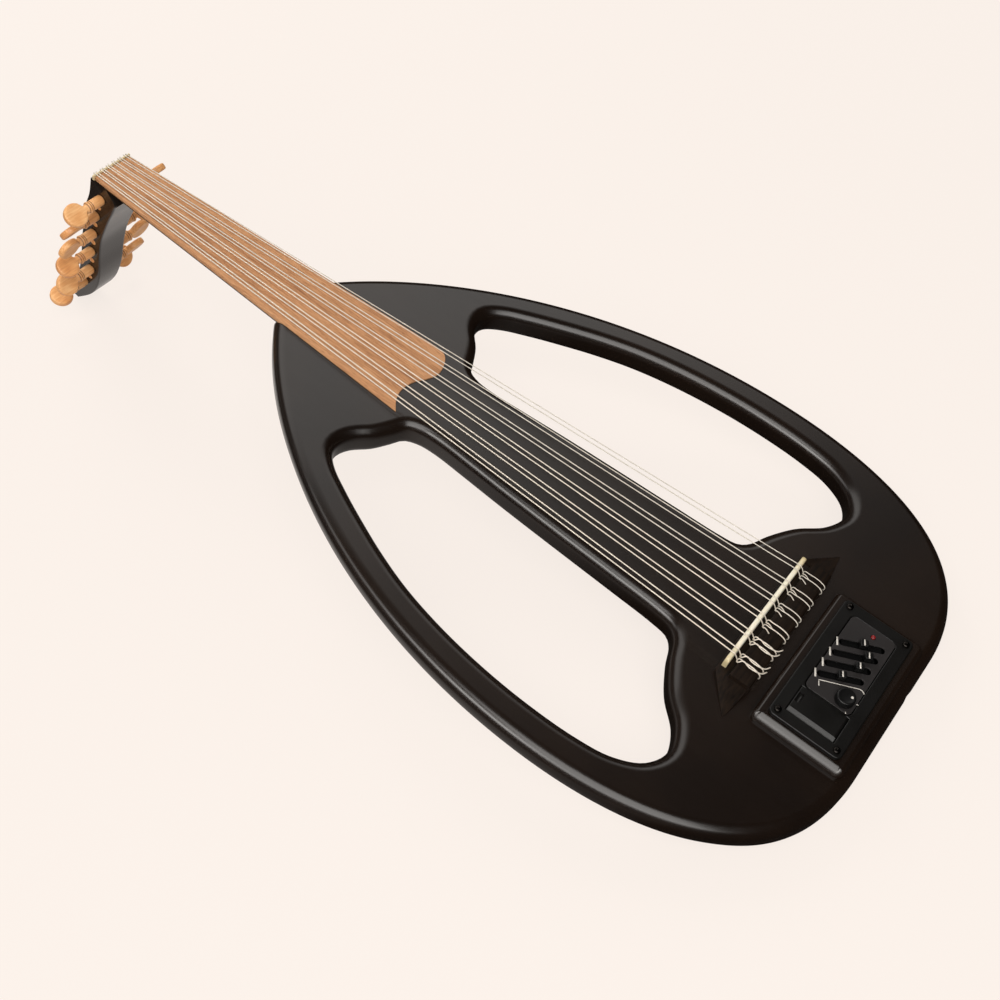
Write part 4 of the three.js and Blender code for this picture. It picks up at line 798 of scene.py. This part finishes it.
def bridge_shells():
    """The base and tie block: a profile in y and z carried across, its upper edges rounded, which
    shrinks a little towards its middle at both ends. Each wing: the same foot drawn to a point,
    over a ridge that starts above the front edge."""
    front, back, top, low, base = -tie_front, -tie_back, tie_top, bridge_front, bridge_base
    turn = np.linspace(0, math.pi / 2, 7)
    r, q = tie_front_round, tie_back_round
    fillet = np.stack([front - r + r * np.cos(turn), top - r + r * np.sin(turn)], axis=1)
    rear = np.stack([back + q - q * np.sin(turn), top - q + q * np.cos(turn)], axis=1)
    profile = np.vstack([
        [[low, 0.0], [low, base - 0.5], [low - 0.15, base - 0.15], [low - 0.5, base],
         [front + 0.8, base], [front + 0.2, base + 0.2], [front, base + 0.8]], fillet, rear, [[back, 0.0]]])
    x = bridge_half - np.array([0, 0.15, 0.5])
    shrink = np.array([0.5, 0.15, 0.0, 0.0, 0.15, 0.5])[:, None, None]
    inward = np.array([-8.0, 0.0]) - profile
    inward /= np.linalg.norm(inward, axis=1, keepdims=True)
    shells = [closed_rows(across_from(np.concatenate([-x, x[::-1]]), profile + shrink * inward)[:, ::-1])]
    root = np.array([
        [low, 0.0], [low - 0.2, base - 0.4], [low - 0.8, base], [front - 0.5, wing_height],
        [front - 1.5, wing_height + 0.1], [back + 1.0, wing_height - 0.2],
        [back + 0.4, wing_height - 0.8], [back + 0.3, 0.0]])
    steps = np.array([0, 0.25, 0.5, 0.75, 0.93, 1.0])
    rings = root * (1 - steps[:, None, None]) + wing_tip * steps[:, None, None]
    for side in (-1, 1):
        wing = across_from(side * (bridge_half - 0.4 + (wing_reach + 0.4) * steps), rings)
        shells.append(closed_rows(wing[:, ::-1] if side > 0 else wing))
    return together(*shells)


# Stained dark hardwood, planed and oiled: near black with brown streaks along its length, fine
# pores drawn at about 0.4 by 4 mm, and a low satin sheen.
bridge_wood = finish(
    "stained_bridge_hardwood",
    [((60, 900, 900), {"Scale": 0.8, "Detail": 5.0, "Roughness": 0.6}),
     ((250, 2500, 2500), {"Scale": 1.0, "Detail": 1.0})],
    [(0.32, linear("#0D0907")), (0.7, linear("#21170F"))], (0.36, 0.48),
    {"IOR": 1.45, "Specular IOR Level": 0.16}, (0.15, 0.0002))
piece("dark_bridge", bridge_shells(), bridge_wood, "bridge", crease=38)

# Saddle: a strip of bone that stands in the bridge's slot, rounded over at its ends and along its
# top, where each string has worn a small notch.
course_spacing, pair_gap = 17.1, 4.6
saddle_half, saddle_short, saddle_end_round, saddle_notch_share = 55.5, 3.5, 4.0, 0.6
saddle_thickness, saddle_middle, saddle_top, saddle_foot = 3.2, 0.6, 12.4, 1.6
saddle_x = from_middle * course_spacing + pair_side * pair_gap / 2


def saddle_shell():
    """Across the strip a profile with a round top, carried along x. Its height follows a quarter
    round at each end and drops into the notches."""
    end = saddle_end_round
    low, high = -saddle_half + saddle_short, saddle_half
    bow = end * (1 - np.cos(np.linspace(0, math.pi / 2, 16)))
    x = np.concatenate([low + bow, np.linspace(low + end, high - end, 500)[1:-1], high - bow[::-1]])
    over = np.maximum(low + end - x, x - high + end).clip(0, end)
    top = saddle_top - end + np.sqrt(end ** 2 - over ** 2) - saddle_notch_share * grooves(x, saddle_x)
    turn = np.linspace(-math.pi / 2, math.pi / 2, 9)
    half = saddle_thickness / 2
    y = np.concatenate([[-half], half * np.sin(turn), [half]])
    z = top[:, None] - np.concatenate([[0.0], half * (1 - np.cos(turn)) * 0.8, [0.0]])
    z[:, [0, -1]] = saddle_foot
    return closed_rows(across_from(x, np.stack([saddle_middle + y + 0 * z, z.clip(saddle_foot)], axis=-1)))


piece("bone_saddle", saddle_shell(), bone("polished_bone", "#DDD6BE", "#F3EFE0"), "saddle",
      crease=50)

# Strings: six double courses. The six on the bass side are nylon floss wound with silvered wire,
# the six on the treble side plain nylon. Each is tied through its hole in the tie block, over the
# block and once round itself, with a short end left, and wound twice round its peg.
peg_order = [f"peg_bass_{k}" for k in range(1, 7)] + [f"peg_treble_{k}" for k in range(6, 0, -1)]
coil_turns, coil_space = 2, 0.46
tie_hole = (gap + tie_top) / 2 + gap


def tube(path, radius):
    """A round tube along a smooth path: at each point a circle across the path, measured from
    the x axis, with ten sides."""
    slope = np.gradient(path, axis=0)
    slope /= np.linalg.norm(slope, axis=1, keepdims=True)
    level = np.array([1.0, 0, 0]) - slope[:, :1] * slope
    level /= np.linalg.norm(level, axis=1, keepdims=True)
    phi = angles(10)[None, :, None]
    return closed_rows(path[:, None] + radius * (
        np.cos(phi) * level[:, None] + np.sin(phi) * np.cross(slope, level)[:, None]))


def tie(x, r, low_course):
    """The tied end, from the loose end to where the string leaves its hole. The two bass courses
    go over the block twice and end in a whisker behind it. The others go over it once, and their
    loose end lies on the block behind the knot."""
    back, top, hole = -tie_back, tie_top + r + 0.05, tie_hole
    if low_course:
        loose = [[5.6, back - 2.4, top - 0.7], [3.6, back - 1.7, top - 0.1], [1.5, back - 0.3, top + 0.3],
                 [-0.1, -18.6, top + 1.05], [-0.9, -15.0, top + 1.5], [-0.6, -11.5, top + 1.5],
                 [0.5, -8.6, top + 0.8 + 2 * r], [0, -6.9, top + 0.8 + r]]
    else:
        loose = [[-3.0, -10.2, top], [-2.2, -8.7, top + 0.1], [-1.4, -7.1, top + 0.15]]
    rest = [[-0.8 - r, -5.6, top + 0.1], [-0.9 - r, -4.6, top - 0.5], [0, -4.0, top - 0.6 - 2 * r],
            [0.9 + r, -4.5, top - 0.2], [0.7 + r, -6.0, top + 0.7], [0.5, -8.4, top + 1.2],
            [0.5, -12.0, top + 1.5], [0.4, -16.0, top + 1.35], [0.2, -19.4, top + 0.6],
            [0, back - 0.1, top - 0.4], [0, back - r - 0.3, tie_top - 1.8], [0, back - r - 0.2, hole + 1.0],
            [0, back + 0.6, hole], [0, -14.0, hole + 0.6], [0, -tie_front - 1.0, hole + 1.4]]
    return np.array(loose + rest) + [x, 0, 0]


def string_path(k):
    """From the tied end through the hole, up to the saddle, along to the nut, and down to the
    coil on the peg, as one curve through points."""
    x, r = saddle_x[k], string_radius[k]
    clear = r + 0.08
    peg = pegs[peg_order[k]]
    side = 1 if "treble" in peg_order[k] else -1
    wall = pegbox_wall(np.clip((-peg[2] - 2) / 150, 0, 1))
    pitch = 2 * r + coil_space
    coil_radius = peg_radius - 2 * peg_taper + r + gap
    coil_x = side * (abs(peg[0]) - wall - clear - gap - coil_turns * pitch)
    over = saddle_top + 0.3 * r
    start = np.array([x, saddle_middle, over + 0.6 * r])
    stop = np.array([nut_x[k], scale_length, board_top + nut_height + 0.1])
    up = [[x, -tie_front + 0.5, tie_hole + 2.4], [x, saddle_middle - 3.2, saddle_top - 1.8],
          [x, saddle_middle - 1.3, over + 0.2 * r], start, start + [0, 1.8, 0]]
    along = [start + (stop - start) * w for w in (0.03, 0.1, 0.3, 0.5, 0.7, 0.9, 0.98)]
    foot = np.array([nut_x[k], scale_length + nut_thickness + 0.2, board_top + clear * 0.8])
    on_coil = np.array([coil_x, peg[1] + coil_radius, peg[2]])
    down = [foot + (on_coil - foot) * w + [0, 1.4 * math.sin(math.pi * w), 0]
            for w in (0.12, 0.35, 0.65, 0.9)]
    a = np.linspace(0, 2 * math.pi * coil_turns, 12 * coil_turns + 1)
    coil = np.stack([coil_x + side * pitch * a / (2 * math.pi), peg[1] + coil_radius * np.cos(a),
                     peg[2] - coil_radius * np.sin(a)], axis=1)
    path = np.vstack([tie(x, r, course[k] < 2), up, along, [stop + [0, 1.5, 0], foot], down, coil])
    return even(line_through(path, 4000), 900)


def wound_wire():
    """Silvered wire wound on floss: pale warm metal whose turns are drawn 0.4 mm apart, coarser
    than the real 0.15 mm so that they show, with painted shade in the grooves and a painted highlight on top of
    each turn."""
    material, tree, place = empty_material("silvered_wire_winding")
    wave = add(tree, "TexWave", {"Vector": in_millimetres(tree, place), "Scale": 0.8, "Distortion": 0.3,
                                 "Detail": 1.0}, wave_type="BANDS", bands_direction="Y").outputs["Fac"]
    # The colour follows the turns: painted shade in each groove, a painted highlight on each crest.
    colour = add(tree, "ValToRGB", [wave], [(0, linear("#D2C8B8")), (1, linear("#E9E1D4"))])
    add(tree, "OutputMaterial", [add(tree, "BsdfPrincipled", {
        "Base Color": colour, "Metallic": 0.25, "Roughness": 0.4,
        "Normal": add(tree, "Bump", {"Height": wave, "Strength": 0.06, "Distance": 0.0001})})])
    return material


# Drawn nylon: pale, smooth and glossy, with faint cloudy places.
nylon = finish("drawn_nylon", [(None, {"Scale": 0.12, "Detail": 2.0})],
               [(0, linear("#C4BDB0")), (1, linear("#DDD6CA"))], (0.2, 0.3), {"IOR": 1.53},
               drawn_in_mm=True)
wire = wound_wire()
for k in range(string_count):
    material, slot = (wire, "wound_string") if k < 6 else (nylon, "nylon_string")
    piece(f"tied_string_{k + 1:02d}", tube(string_path(k), string_radius[k]), material,
          f"string_{k + 1:02d}")

# Plinth: a block of wood with well rounded edges, glued on the body over the hollow for the
# preamp, and lacquered black with the body.
plinth_x, plinth_y = -9.2, -63.2
plinth_half_x, plinth_half_y = 61.6, 33.3
plinth_top = gap + 7.0
plinth_edge, plinth_bass_edge, plinth_bulge = 3.2, 6.0, 2 / 1.45
plinth_corner, plinth_foot = 5.0, -1.0
cavity_half_x, cavity_half_y, cavity_corner = 48.0, 21.8, 1.0


def rounded_rectangle(centre_x, centre_y, half_x, half_y, corner, steps=10, hole=False):
    """A rectangle whose corners are quarter circles, going round to the left or, as a hole, to
    the right."""
    a = np.linspace(0, math.pi / 2, steps + 1)
    loop = np.vstack([
        np.stack([sx * (half_x - corner) + corner * np.cos(a + (quarter - 1) * math.pi / 2),
                  sy * (half_y - corner) + corner * np.sin(a + (quarter - 1) * math.pi / 2)], axis=1)
        for quarter, (sx, sy) in enumerate(((1, -1), (1, 1), (-1, 1), (-1, -1)))]) + [centre_x, centre_y]
    return loop[::-1] if hole else loop


def crowned_plinth():
    """A block over the hollow for the preamp. Its upper edge is a slope, wide at the bass side:
    inset and drop are powers of the sine and cosine whose 1.45th powers add up to one."""
    outer = rounded_rectangle(plinth_x, plinth_y, plinth_half_x, plinth_half_y, plinth_corner, 14)
    hollow = rounded_rectangle(plinth_x, plinth_y, cavity_half_x, cavity_half_y, cavity_corner, 14)
    a = np.linspace(0, math.pi / 2, 16)[:, None]
    inward = leftward(outer)
    radius = plinth_edge + (plinth_bass_edge - plinth_edge) * inward[:, 0].clip(0, 1) ** 2
    inset = np.vstack([0 * radius, radius * (1 - np.cos(a).clip(0) ** plinth_bulge), radius + 0.15])
    height = np.vstack([0 * radius + plinth_foot, plinth_top - radius + radius * np.sin(a) ** plinth_bulge,
                        0 * radius + plinth_top])
    shrunk = outer[None] + inset[..., None] * inward[None]
    rows = np.concatenate([shrunk, height[..., None]], axis=2)
    inner = np.stack([np.column_stack([hollow, np.full(len(hollow), z)])
                      for z in (plinth_top, plinth_foot)])
    rows = np.concatenate([rows, inner, rows[:1]])
    return rows.reshape(-1, 3), grid_faces(len(rows), len(outer))


piece("black_plinth", crowned_plinth(), black_lacquer, "preamp_plinth", crease=50)

# Preamp housing: a moulded black plastic frame screwed down on the plinth, with a shallow recess
# for the control panel, a well for the battery door, and a round tray for the coin cells below it.
flange_half_x, flange_half_y, flange_corner, flange_edge = 55.4, 26.2, 4.5, 0.7
flange_bottom = plinth_top + gap
flange_top = flange_bottom + 3.4
panel_x, panel_half_x, panel_half_y, panel_corner = 1.8, 34.8, 16.6, 3.7
panel_recess, panel_play, panel_thickness = 0.9, 0.35, 1.2
panel_top = flange_top - panel_recess + gap + panel_thickness
door_x, door_half_x, door_half_y, door_thickness = -45.0, 10.6, 17.2, 3.0
hinge_y = plinth_y - door_half_y + door_thickness / 2
hinge_z = flange_top - door_thickness / 2 + gap
hinge_end = hinge_y - door_thickness / 2 - gap
door_end = hinge_y + math.hypot(2 * door_half_y - door_thickness / 2, door_thickness / 2) + gap
skirt_foot = flange_bottom - 10.5
tray_x, tray_half_x, tray_half_y, tray_floor, cell_radius = -44.6, 11.3, 20.4, 1.4, 10.0


def plastic(name, colour, roughness, grain):
    """Injection-moulded black plastic: an even fine spark-eroded grain, drawn about 0.6 mm across
    so that it just shows, and slightly shinier patches where it is touched."""
    return finish(name, [(None, {"Scale": 45.0, "Detail": 2.0}), (None, {"Scale": 1700.0, "Detail": 2.0})],
                  [(0, linear(colour)), (1, linear(colour, 1.35))], (roughness - 0.05, roughness + 0.05),
                  {"IOR": 1.49, "Specular IOR Level": 0.34}, (grain, 0.0001))


def ring(centre, radius, steps=40, hole=False):
    """A circle in the flat drawing, going to the left or, as a hole, to the right."""
    a = angles(steps) * (-1 if hole else 1)
    return np.asarray(centre) + radius * np.stack([np.cos(a), np.sin(a)], axis=1)


housing_plastic = plastic("moulded_black_plastic", "#0A0908", 0.34, 0.25)
frame_loops = [
    rounded_rectangle(plinth_x, plinth_y, flange_half_x, flange_half_y, flange_corner, 12),
    rounded_rectangle(panel_x, plinth_y, panel_half_x + panel_play, panel_half_y + panel_play,
                      panel_corner + 0.3, hole=True),
    rounded_rectangle(door_x, (hinge_end + door_end) / 2, door_half_x + gap,
                      (door_end - hinge_end) / 2, 0.4, 3, hole=True)]
tray_ring = ring([door_x, plinth_y], cell_radius + gap, 72, hole=True)
tray_wall = rounded_rectangle(tray_x, plinth_y, tray_half_x, tray_half_y, 0.6, 3)
housing_shell = together(
    rounded_slab(frame_loops, flange_bottom, flange_top, flange_edge, 5, 0.25),
    rounded_slab([tray_wall, tray_ring], skirt_foot + tray_floor, flange_top - door_thickness - gap,
                 0.25, 3, 0.2),
    rounded_slab([tray_wall], skirt_foot, skirt_foot + tray_floor + 0.05, 0.2, 2, 0.27))
piece("moulded_housing", housing_shell, housing_plastic, "preamp_housing", crease=45)

# Control panel: a dark grey painted plate in the housing's recess, with four slanted slots for
# the tone sliders, the holes of the knob and the lamp, and thin white printed marks: a tick at
# the head of each slot, a line beside the knob and ticks round it.
slider_pitch, slider_first_x = 10.3, 11.5
slot_length, slot_width, slot_turn = 31.2, 5.2, math.radians(28)
slot_head = plinth_y + panel_half_y - 2.0
slot_along = np.array([math.sin(slot_turn), -math.cos(slot_turn)])
slot_across = np.array([math.cos(slot_turn), math.sin(slot_turn)])
knob_at, knob_hole = np.array([-25.2, -71.6]), 3.6
lamp_at, lamp_hole = np.array([30.2, -65.0]), 1.8
tick_width, thin_width, ink_sunk, ink_proud = 1.2, 0.6, -0.05, 0.06


def slot_point(k, along, across=0.0):
    """A point of a slot: its head, then a distance down its length and one across it."""
    head = np.array([slider_first_x - k * slider_pitch, slot_head])
    return head + slot_along * along + slot_across * across


def slot_loop(k):
    """A slot's outline: two half circles joined by straight sides, as a hole."""
    a = np.linspace(0, math.pi, 13)[:, None]
    r = slot_width / 2
    bow = r * (np.cos(a) * slot_across - np.sin(a) * slot_along)
    return np.vstack([slot_point(k, r) + bow, slot_point(k, slot_length - r) - bow])[::-1]


def printed_line(points, width, level=panel_top):
    """White ink along a line: a strip of one width that lies a little proud of a face."""
    points = np.asarray(points, float)
    slope = np.gradient(points, axis=0)
    slope /= np.linalg.norm(slope, axis=1, keepdims=True)
    across = np.stack([-slope[:, 1], slope[:, 0]], axis=1) * width / 2
    rows = np.stack([np.column_stack([points + side * across, np.full(len(points), level + rise)])
                     for side, rise in ((1, ink_sunk), (1, ink_proud), (-1, ink_proud), (-1, ink_sunk))],
                    axis=1)
    return closed_rows(rows[:, ::-1])


panel_loops = [rounded_rectangle(panel_x, plinth_y, panel_half_x, panel_half_y, panel_corner),
               *[slot_loop(k) for k in range(4)], ring(knob_at, knob_hole, hole=True),
               ring(lamp_at, lamp_hole, 24, hole=True)]
piece("painted_panel", rounded_slab(panel_loops, panel_top - panel_thickness, panel_top, 0.18, 3, 0.1),
      plastic("grey_panel_paint", "#232121", 0.38, 0.2), "control_panel", crease=50)

# Screen-printed white ink, slightly uneven.
ink = finish("white_printing_ink", [(None, {"Scale": 900.0, "Detail": 2.0})],
             [(0, linear("#A9A49D")), (1, linear("#E4E0D8"))], 0.6, {})
marks = [printed_line([slot_point(k, -1.1, -3.2), slot_point(k, -1.1, 3.2)], tick_width)
         for k in range(4)]
bend = np.linspace(0, 1, 13)[:, None]
line_from, line_to = slot_point(3, 1.0, -4.9), slot_point(3, 27.5, -5.4)
corner, line_end = slot_point(3, 30.0, -5.5), slot_point(3, 31.0, -8.5)
# The line's foot is a quadratic curve, by Bernstein's terms.
arc = line_to * (1 - bend) ** 2 + 2 * corner * bend * (1 - bend) + line_end * bend ** 2
serif = line_from + 0.2 * slot_along
marks += [printed_line(np.vstack([np.linspace(line_from, line_to, 8)[:-1], arc]), thin_width),
          printed_line([serif, serif - 4.5 * slot_across], thin_width)]
for degrees in (215, 290, 350):
    step = np.array([math.cos(math.radians(degrees)), math.sin(math.radians(degrees))])
    marks.append(printed_line([knob_at + step * 8.2, knob_at + step * 9.6], thin_width))
piece("printed_marks", together(*marks), ink, "")

# Slider caps: four small black plastic caps, each on the flat stem of its slide potentiometer,
# with a white line moulded across the top to show its place.
slider_shares = [0.5, 0.75, 0.71, 0.49]
cap_half_across, cap_half_along, cap_height, cap_corner = 2.5, 2.7, 4.9, 0.9
stem_half_across, stem_half_along, stem_height = 0.7, 1.6, 2.6
cap_line_half = 2.2
cap_plastic = plastic("black_cap_plastic", "#090909", 0.34, 0.15)


def turned_rectangle(centre, half_across, half_along, corner, steps=6):
    """A rounded rectangle with its length down a slot."""
    flat = rounded_rectangle(0, 0, half_across, half_along, corner, steps)
    return centre + flat[:, :1] * slot_across - flat[:, 1:] * slot_along


for k, share in enumerate(slider_shares):
    middle = slot_point(k, share * slot_length)
    cap = rounded_slab([turned_rectangle(middle, cap_half_across, cap_half_along, cap_corner)],
                       panel_top + gap, panel_top + cap_height, 0.5, 4, 0.2)
    stem = rounded_slab([turned_rectangle(middle, stem_half_across, stem_half_along, 0.1, 2)],
                        panel_top - panel_thickness, panel_top + stem_height, 0.05, 1, 0.05)
    name = f"slider_cap_{k + 1}"
    piece(f"black_cap_{k + 1}", together(cap, stem), cap_plastic, name, name, crease=50)
    line = printed_line([middle - cap_line_half * slot_across, middle + cap_line_half * slot_across],
                        1.0, panel_top + cap_height)
    piece(f"cap_line_{k + 1}", line, ink, "", name)

# Volume knob: a knob of the same black plastic as the caps, pressed on the shaft of its
# potentiometer, with fine flutes round its side and a white dot printed near its edge.
knob_flutes, flute_depth = 36, 0.22
dot_radius, dot_out, dot_turn = 0.9, 3.6, math.radians(-66)


def turned(centre, radius, height, sides):
    """Rings about an upright line: a radius, plain or one for each angle, at each height."""
    phi = angles(sides)
    radius = radius + 0 * phi
    return closed_rows(np.stack([centre[0] + radius * np.cos(phi), centre[1] + radius * np.sin(phi),
                                 height + 0 * radius], axis=-1))


def knob_shell():
    """A turned profile of radius over height, with shallow flutes on its side, each a squared
    cosine wave. The third number is how much of the flute there is at that height."""
    radius, height, depth = np.array([
        [0.02, -1.2, 0], [3.0, -1.2, 0], [3.0, 0.3, 0], [6.2, 0.3, 0], [6.5, 0.5, 0], [6.6, 0.9, 1],
        [6.45, 4.6, 1], [6.2, 5.15, 0.6], [5.8, 5.4, 0], [5.2, 5.5, 0], [4.6, 5.35, 0], [3.0, 5.2, 0],
        [0.02, 5.15, 0]]).T[:, :, None]
    flute = (0.5 + 0.5 * np.cos(knob_flutes * angles(6 * knob_flutes))) ** 2
    return turned(knob_at, radius - flute_depth * depth * flute, panel_top + height, 6 * knob_flutes)


piece("fluted_knob", knob_shell(), cap_plastic, "volume_knob", "volume_knob", crease=50)
dot_at = knob_at + dot_out * np.array([math.cos(dot_turn), math.sin(dot_turn)])
piece("knob_dot", rounded_slab([ring(dot_at, dot_radius, 20)], panel_top + 4.9, panel_top + 5.4, 0.1, 2, 0.1),
      ink, "", "volume_knob")

# Power lamp: a small lens of clear red plastic over a diode, which stands a millimetre out of the
# panel: a barrel under a dome. It is deep red and glossy, with brighter places.
lens_size, lens_barrel, lens_dome = 1.5, 0.3, 1.0
a = np.linspace(0, math.pi / 2, 10)
lens_radius = np.concatenate([[0.02, lens_size], lens_size * np.cos(a).clip(0.01)])[:, None]
lens_height = np.concatenate([[-panel_thickness] * 2, lens_barrel + lens_dome * np.sin(a)])[:, None]
lens_red = finish("red_lamp_lens", [(None, {"Scale": 900.0})],
                  [(0, linear("#5C1416")), (1, linear("#A32A2C"))], 0.14,
                  {"IOR": 1.5, "Transmission Weight": 0.2})
piece("red_lens", turned(lamp_at, lens_radius, panel_top + lens_height, 32), lens_red, "power_lamp",
      crease=50)


# Battery door: a moulded lid that lies flush in the housing, hinged on two pins at its tail edge.
# Its bass side is cut back in a broad slope, and a notch at the other end takes a fingernail.
def door_shell():
    """A section in x and z with a sloping bass side, carried from the hinge to the other end. Its
    thickness follows a quarter circle about the hinge and is squeezed a little at the far end."""
    half, length, top = door_half_x, 2 * door_half_y - door_thickness / 2, door_thickness / 2
    section = np.array([
        [-half, -top], [-half, top - 2.4], [-half + 0.1, top - 2.3], [-half + 3.1, top - 0.05],
        [-half + 3.2, top], [-half + 3.8, top], [half - 0.9, top], [half - 0.4, top],
        [half - 0.1, top - 0.1], [half, top - 0.4], [half, -top]])
    a = np.linspace(-math.pi / 2, 0, 9)
    y = np.concatenate([np.sin(a) * top, [0.5, length - 0.9, length - 0.4, length - 0.1, length]])[:, None]
    squeeze = np.concatenate([np.cos(a).clip(0.02), [1, 1, 1, 0.93, 0.75]])[:, None]
    return closed_rows(np.stack([door_x + section[:, 0] + 0 * y, hinge_y + y + 0 * section[:, 0],
                                 hinge_z + section[:, 1] * squeeze], axis=-1))


lid = piece("battery_lid", door_shell(), housing_plastic, "battery_door",
            "battery_door", crease=30)
notch_radius, notch_y, notch_z = 1.9, hinge_y + 30.4, hinge_z + 2.0
carved(lid, [door_x - 2.0, notch_y, notch_z], [door_x + 5.6, notch_y, notch_z], notch_radius, 32, 20)

# Housing screws: four small screws with domed heads and a crossed recess. Black-plated steel: a
# dark metal whose brushed skin varies a little in sheen.
screw_steel = finish("black_plated_steel", [(None, {"Scale": 400.0, "Detail": 3.0})],
                     [(0, linear("#2B2826", 0.8)), (1, linear("#2B2826"))], (0.24, 0.36), {"Metallic": 1.0})
screw_in_x, screw_in_y, recess_reach = 5.1, 4.8, 1.1
screw_radius, screw_height = np.array([
    [0.02, -11.7], [0.6, -11.6], [1.2, -9.0], [1.2, 0.3], [2.4, 0.3], [2.5, 0.45], [2.45, 0.9],
    [2.1, 1.35], [1.5, 1.62], [1.05, 1.68], [0.75, 1.2], [0.02, 0.9]]).T[:, :, None]
# Within the recess the radius is full along the cross's four arms and less than half between them.
cross = np.where(np.abs(np.sin(2 * angles(48))) < 0.45, 1.0, 0.45)
in_recess = (screw_radius < recess_reach) & (screw_height > 0.5)
for k, (sx, sy) in enumerate(((-1, -1), (1, -1), (-1, 1), (1, 1))):
    at = [plinth_x + sx * (flange_half_x - screw_in_x), plinth_y + sy * (flange_half_y - screw_in_y)]
    shell = turned(at, np.where(in_recess, screw_radius * cross, screw_radius), flange_top + screw_height, 48)
    piece(f"domed_screw_{k + 1}", shell, screw_steel, f"housing_screw_{k + 1}", crease=40)

# Output jack: a barrel in the tail edge, held by a round nut with two flats that lies in the
# recess. Bright nickel plate over brass, faintly turned, with small changes of sheen.
nickel = finish("nickel_plate", [(None, {"Scale": 0.5, "Detail": 3.0})],
                [(0, linear("#A8A49C")), (1, linear("#CFCBC3"))], (0.14, 0.26), {"Metallic": 1.0},
                drawn_in_mm=True)
jack_out_of_cup, jack_nut_flat = 2.3, 6.4
jack_face = -body_tail + jack_cup_depth - jack_out_of_cup


def turned_about_jack(profile, flats=math.inf):
    """A closed profile of radius and depth turned about the jack's line, cut off at the flats."""
    radius, depth = np.array(profile + profile[:1], float).T[:, :, None]
    phi = angles(64)
    radius = np.minimum(radius, flats / np.maximum(np.abs(np.cos(phi)), 0.2))
    rows = np.stack([jack_x + radius * np.cos(phi), jack_face + depth + 0 * radius,
                     jack_z + radius * np.sin(phi)], axis=-1)
    return rows.reshape(-1, 3), grid_faces(len(rows), phi.size)


barrel = [[3.3, 0.3], [3.6, 0], [5.6, 0], [5.9, 0.3], [5.9, 27], [0.02, 27], [0.02, 25], [5.2, 25],
          [5.2, 7], [3.3, 7]]
collar = [[6.0, 0.5], [6.1, 0.3], [6.5, 0.3], [6.7, 0.5], [6.7, 2.2], [6.0, 2.2]]
piece("nickel_barrel", turned_about_jack(barrel), nickel, "output_jack", crease=40)
piece("nickel_nut", turned_about_jack(collar, jack_nut_flat), nickel, "jack_nut", crease=40)


# Inner pieces: the potentiometers, the circuit board, the cells, the pickup strip and its lead.
# They are out of sight and keep their solids, which get plain works finishes.
def inner_finish(name, colour, metallic, roughness):
    """A plain works finish: one colour with small patches, and an even sheen."""
    return finish(name, [(None, {"Scale": 260.0, "Detail": 3.0})],
                  [(0, linear(colour, 0.75)), (1, linear(colour))], (roughness - 0.05, roughness + 0.05),
                  {"Metallic": metallic, "Specular IOR Level": 0.5 if metallic else 0.08})


inner = {
    "slide_pot": inner_finish("black_pot_case", "#050505", 0.0, 0.8),
    "volume_pot": inner_finish("black_pot_can", "#050505", 0.0, 0.8),
    "circuit_board": inner_finish("black_board_laminate", "#060706", 0.0, 0.8),
    "battery_cell": inner_finish("bright_cell_steel", "#C9C9C6", 1.0, 0.25),
    "piezo_strip": inner_finish("pickup_strip_brass", "#B7A36B", 1.0, 0.35),
    "pickup_lead": inner_finish("black_lead_sleeve", "#161616", 0.0, 0.55),
}
for name, node in frame["nodes"].items():
    for start, material in inner.items():
        if name.startswith(start):
            node.data.materials.clear()
            node.data.materials.append(material)
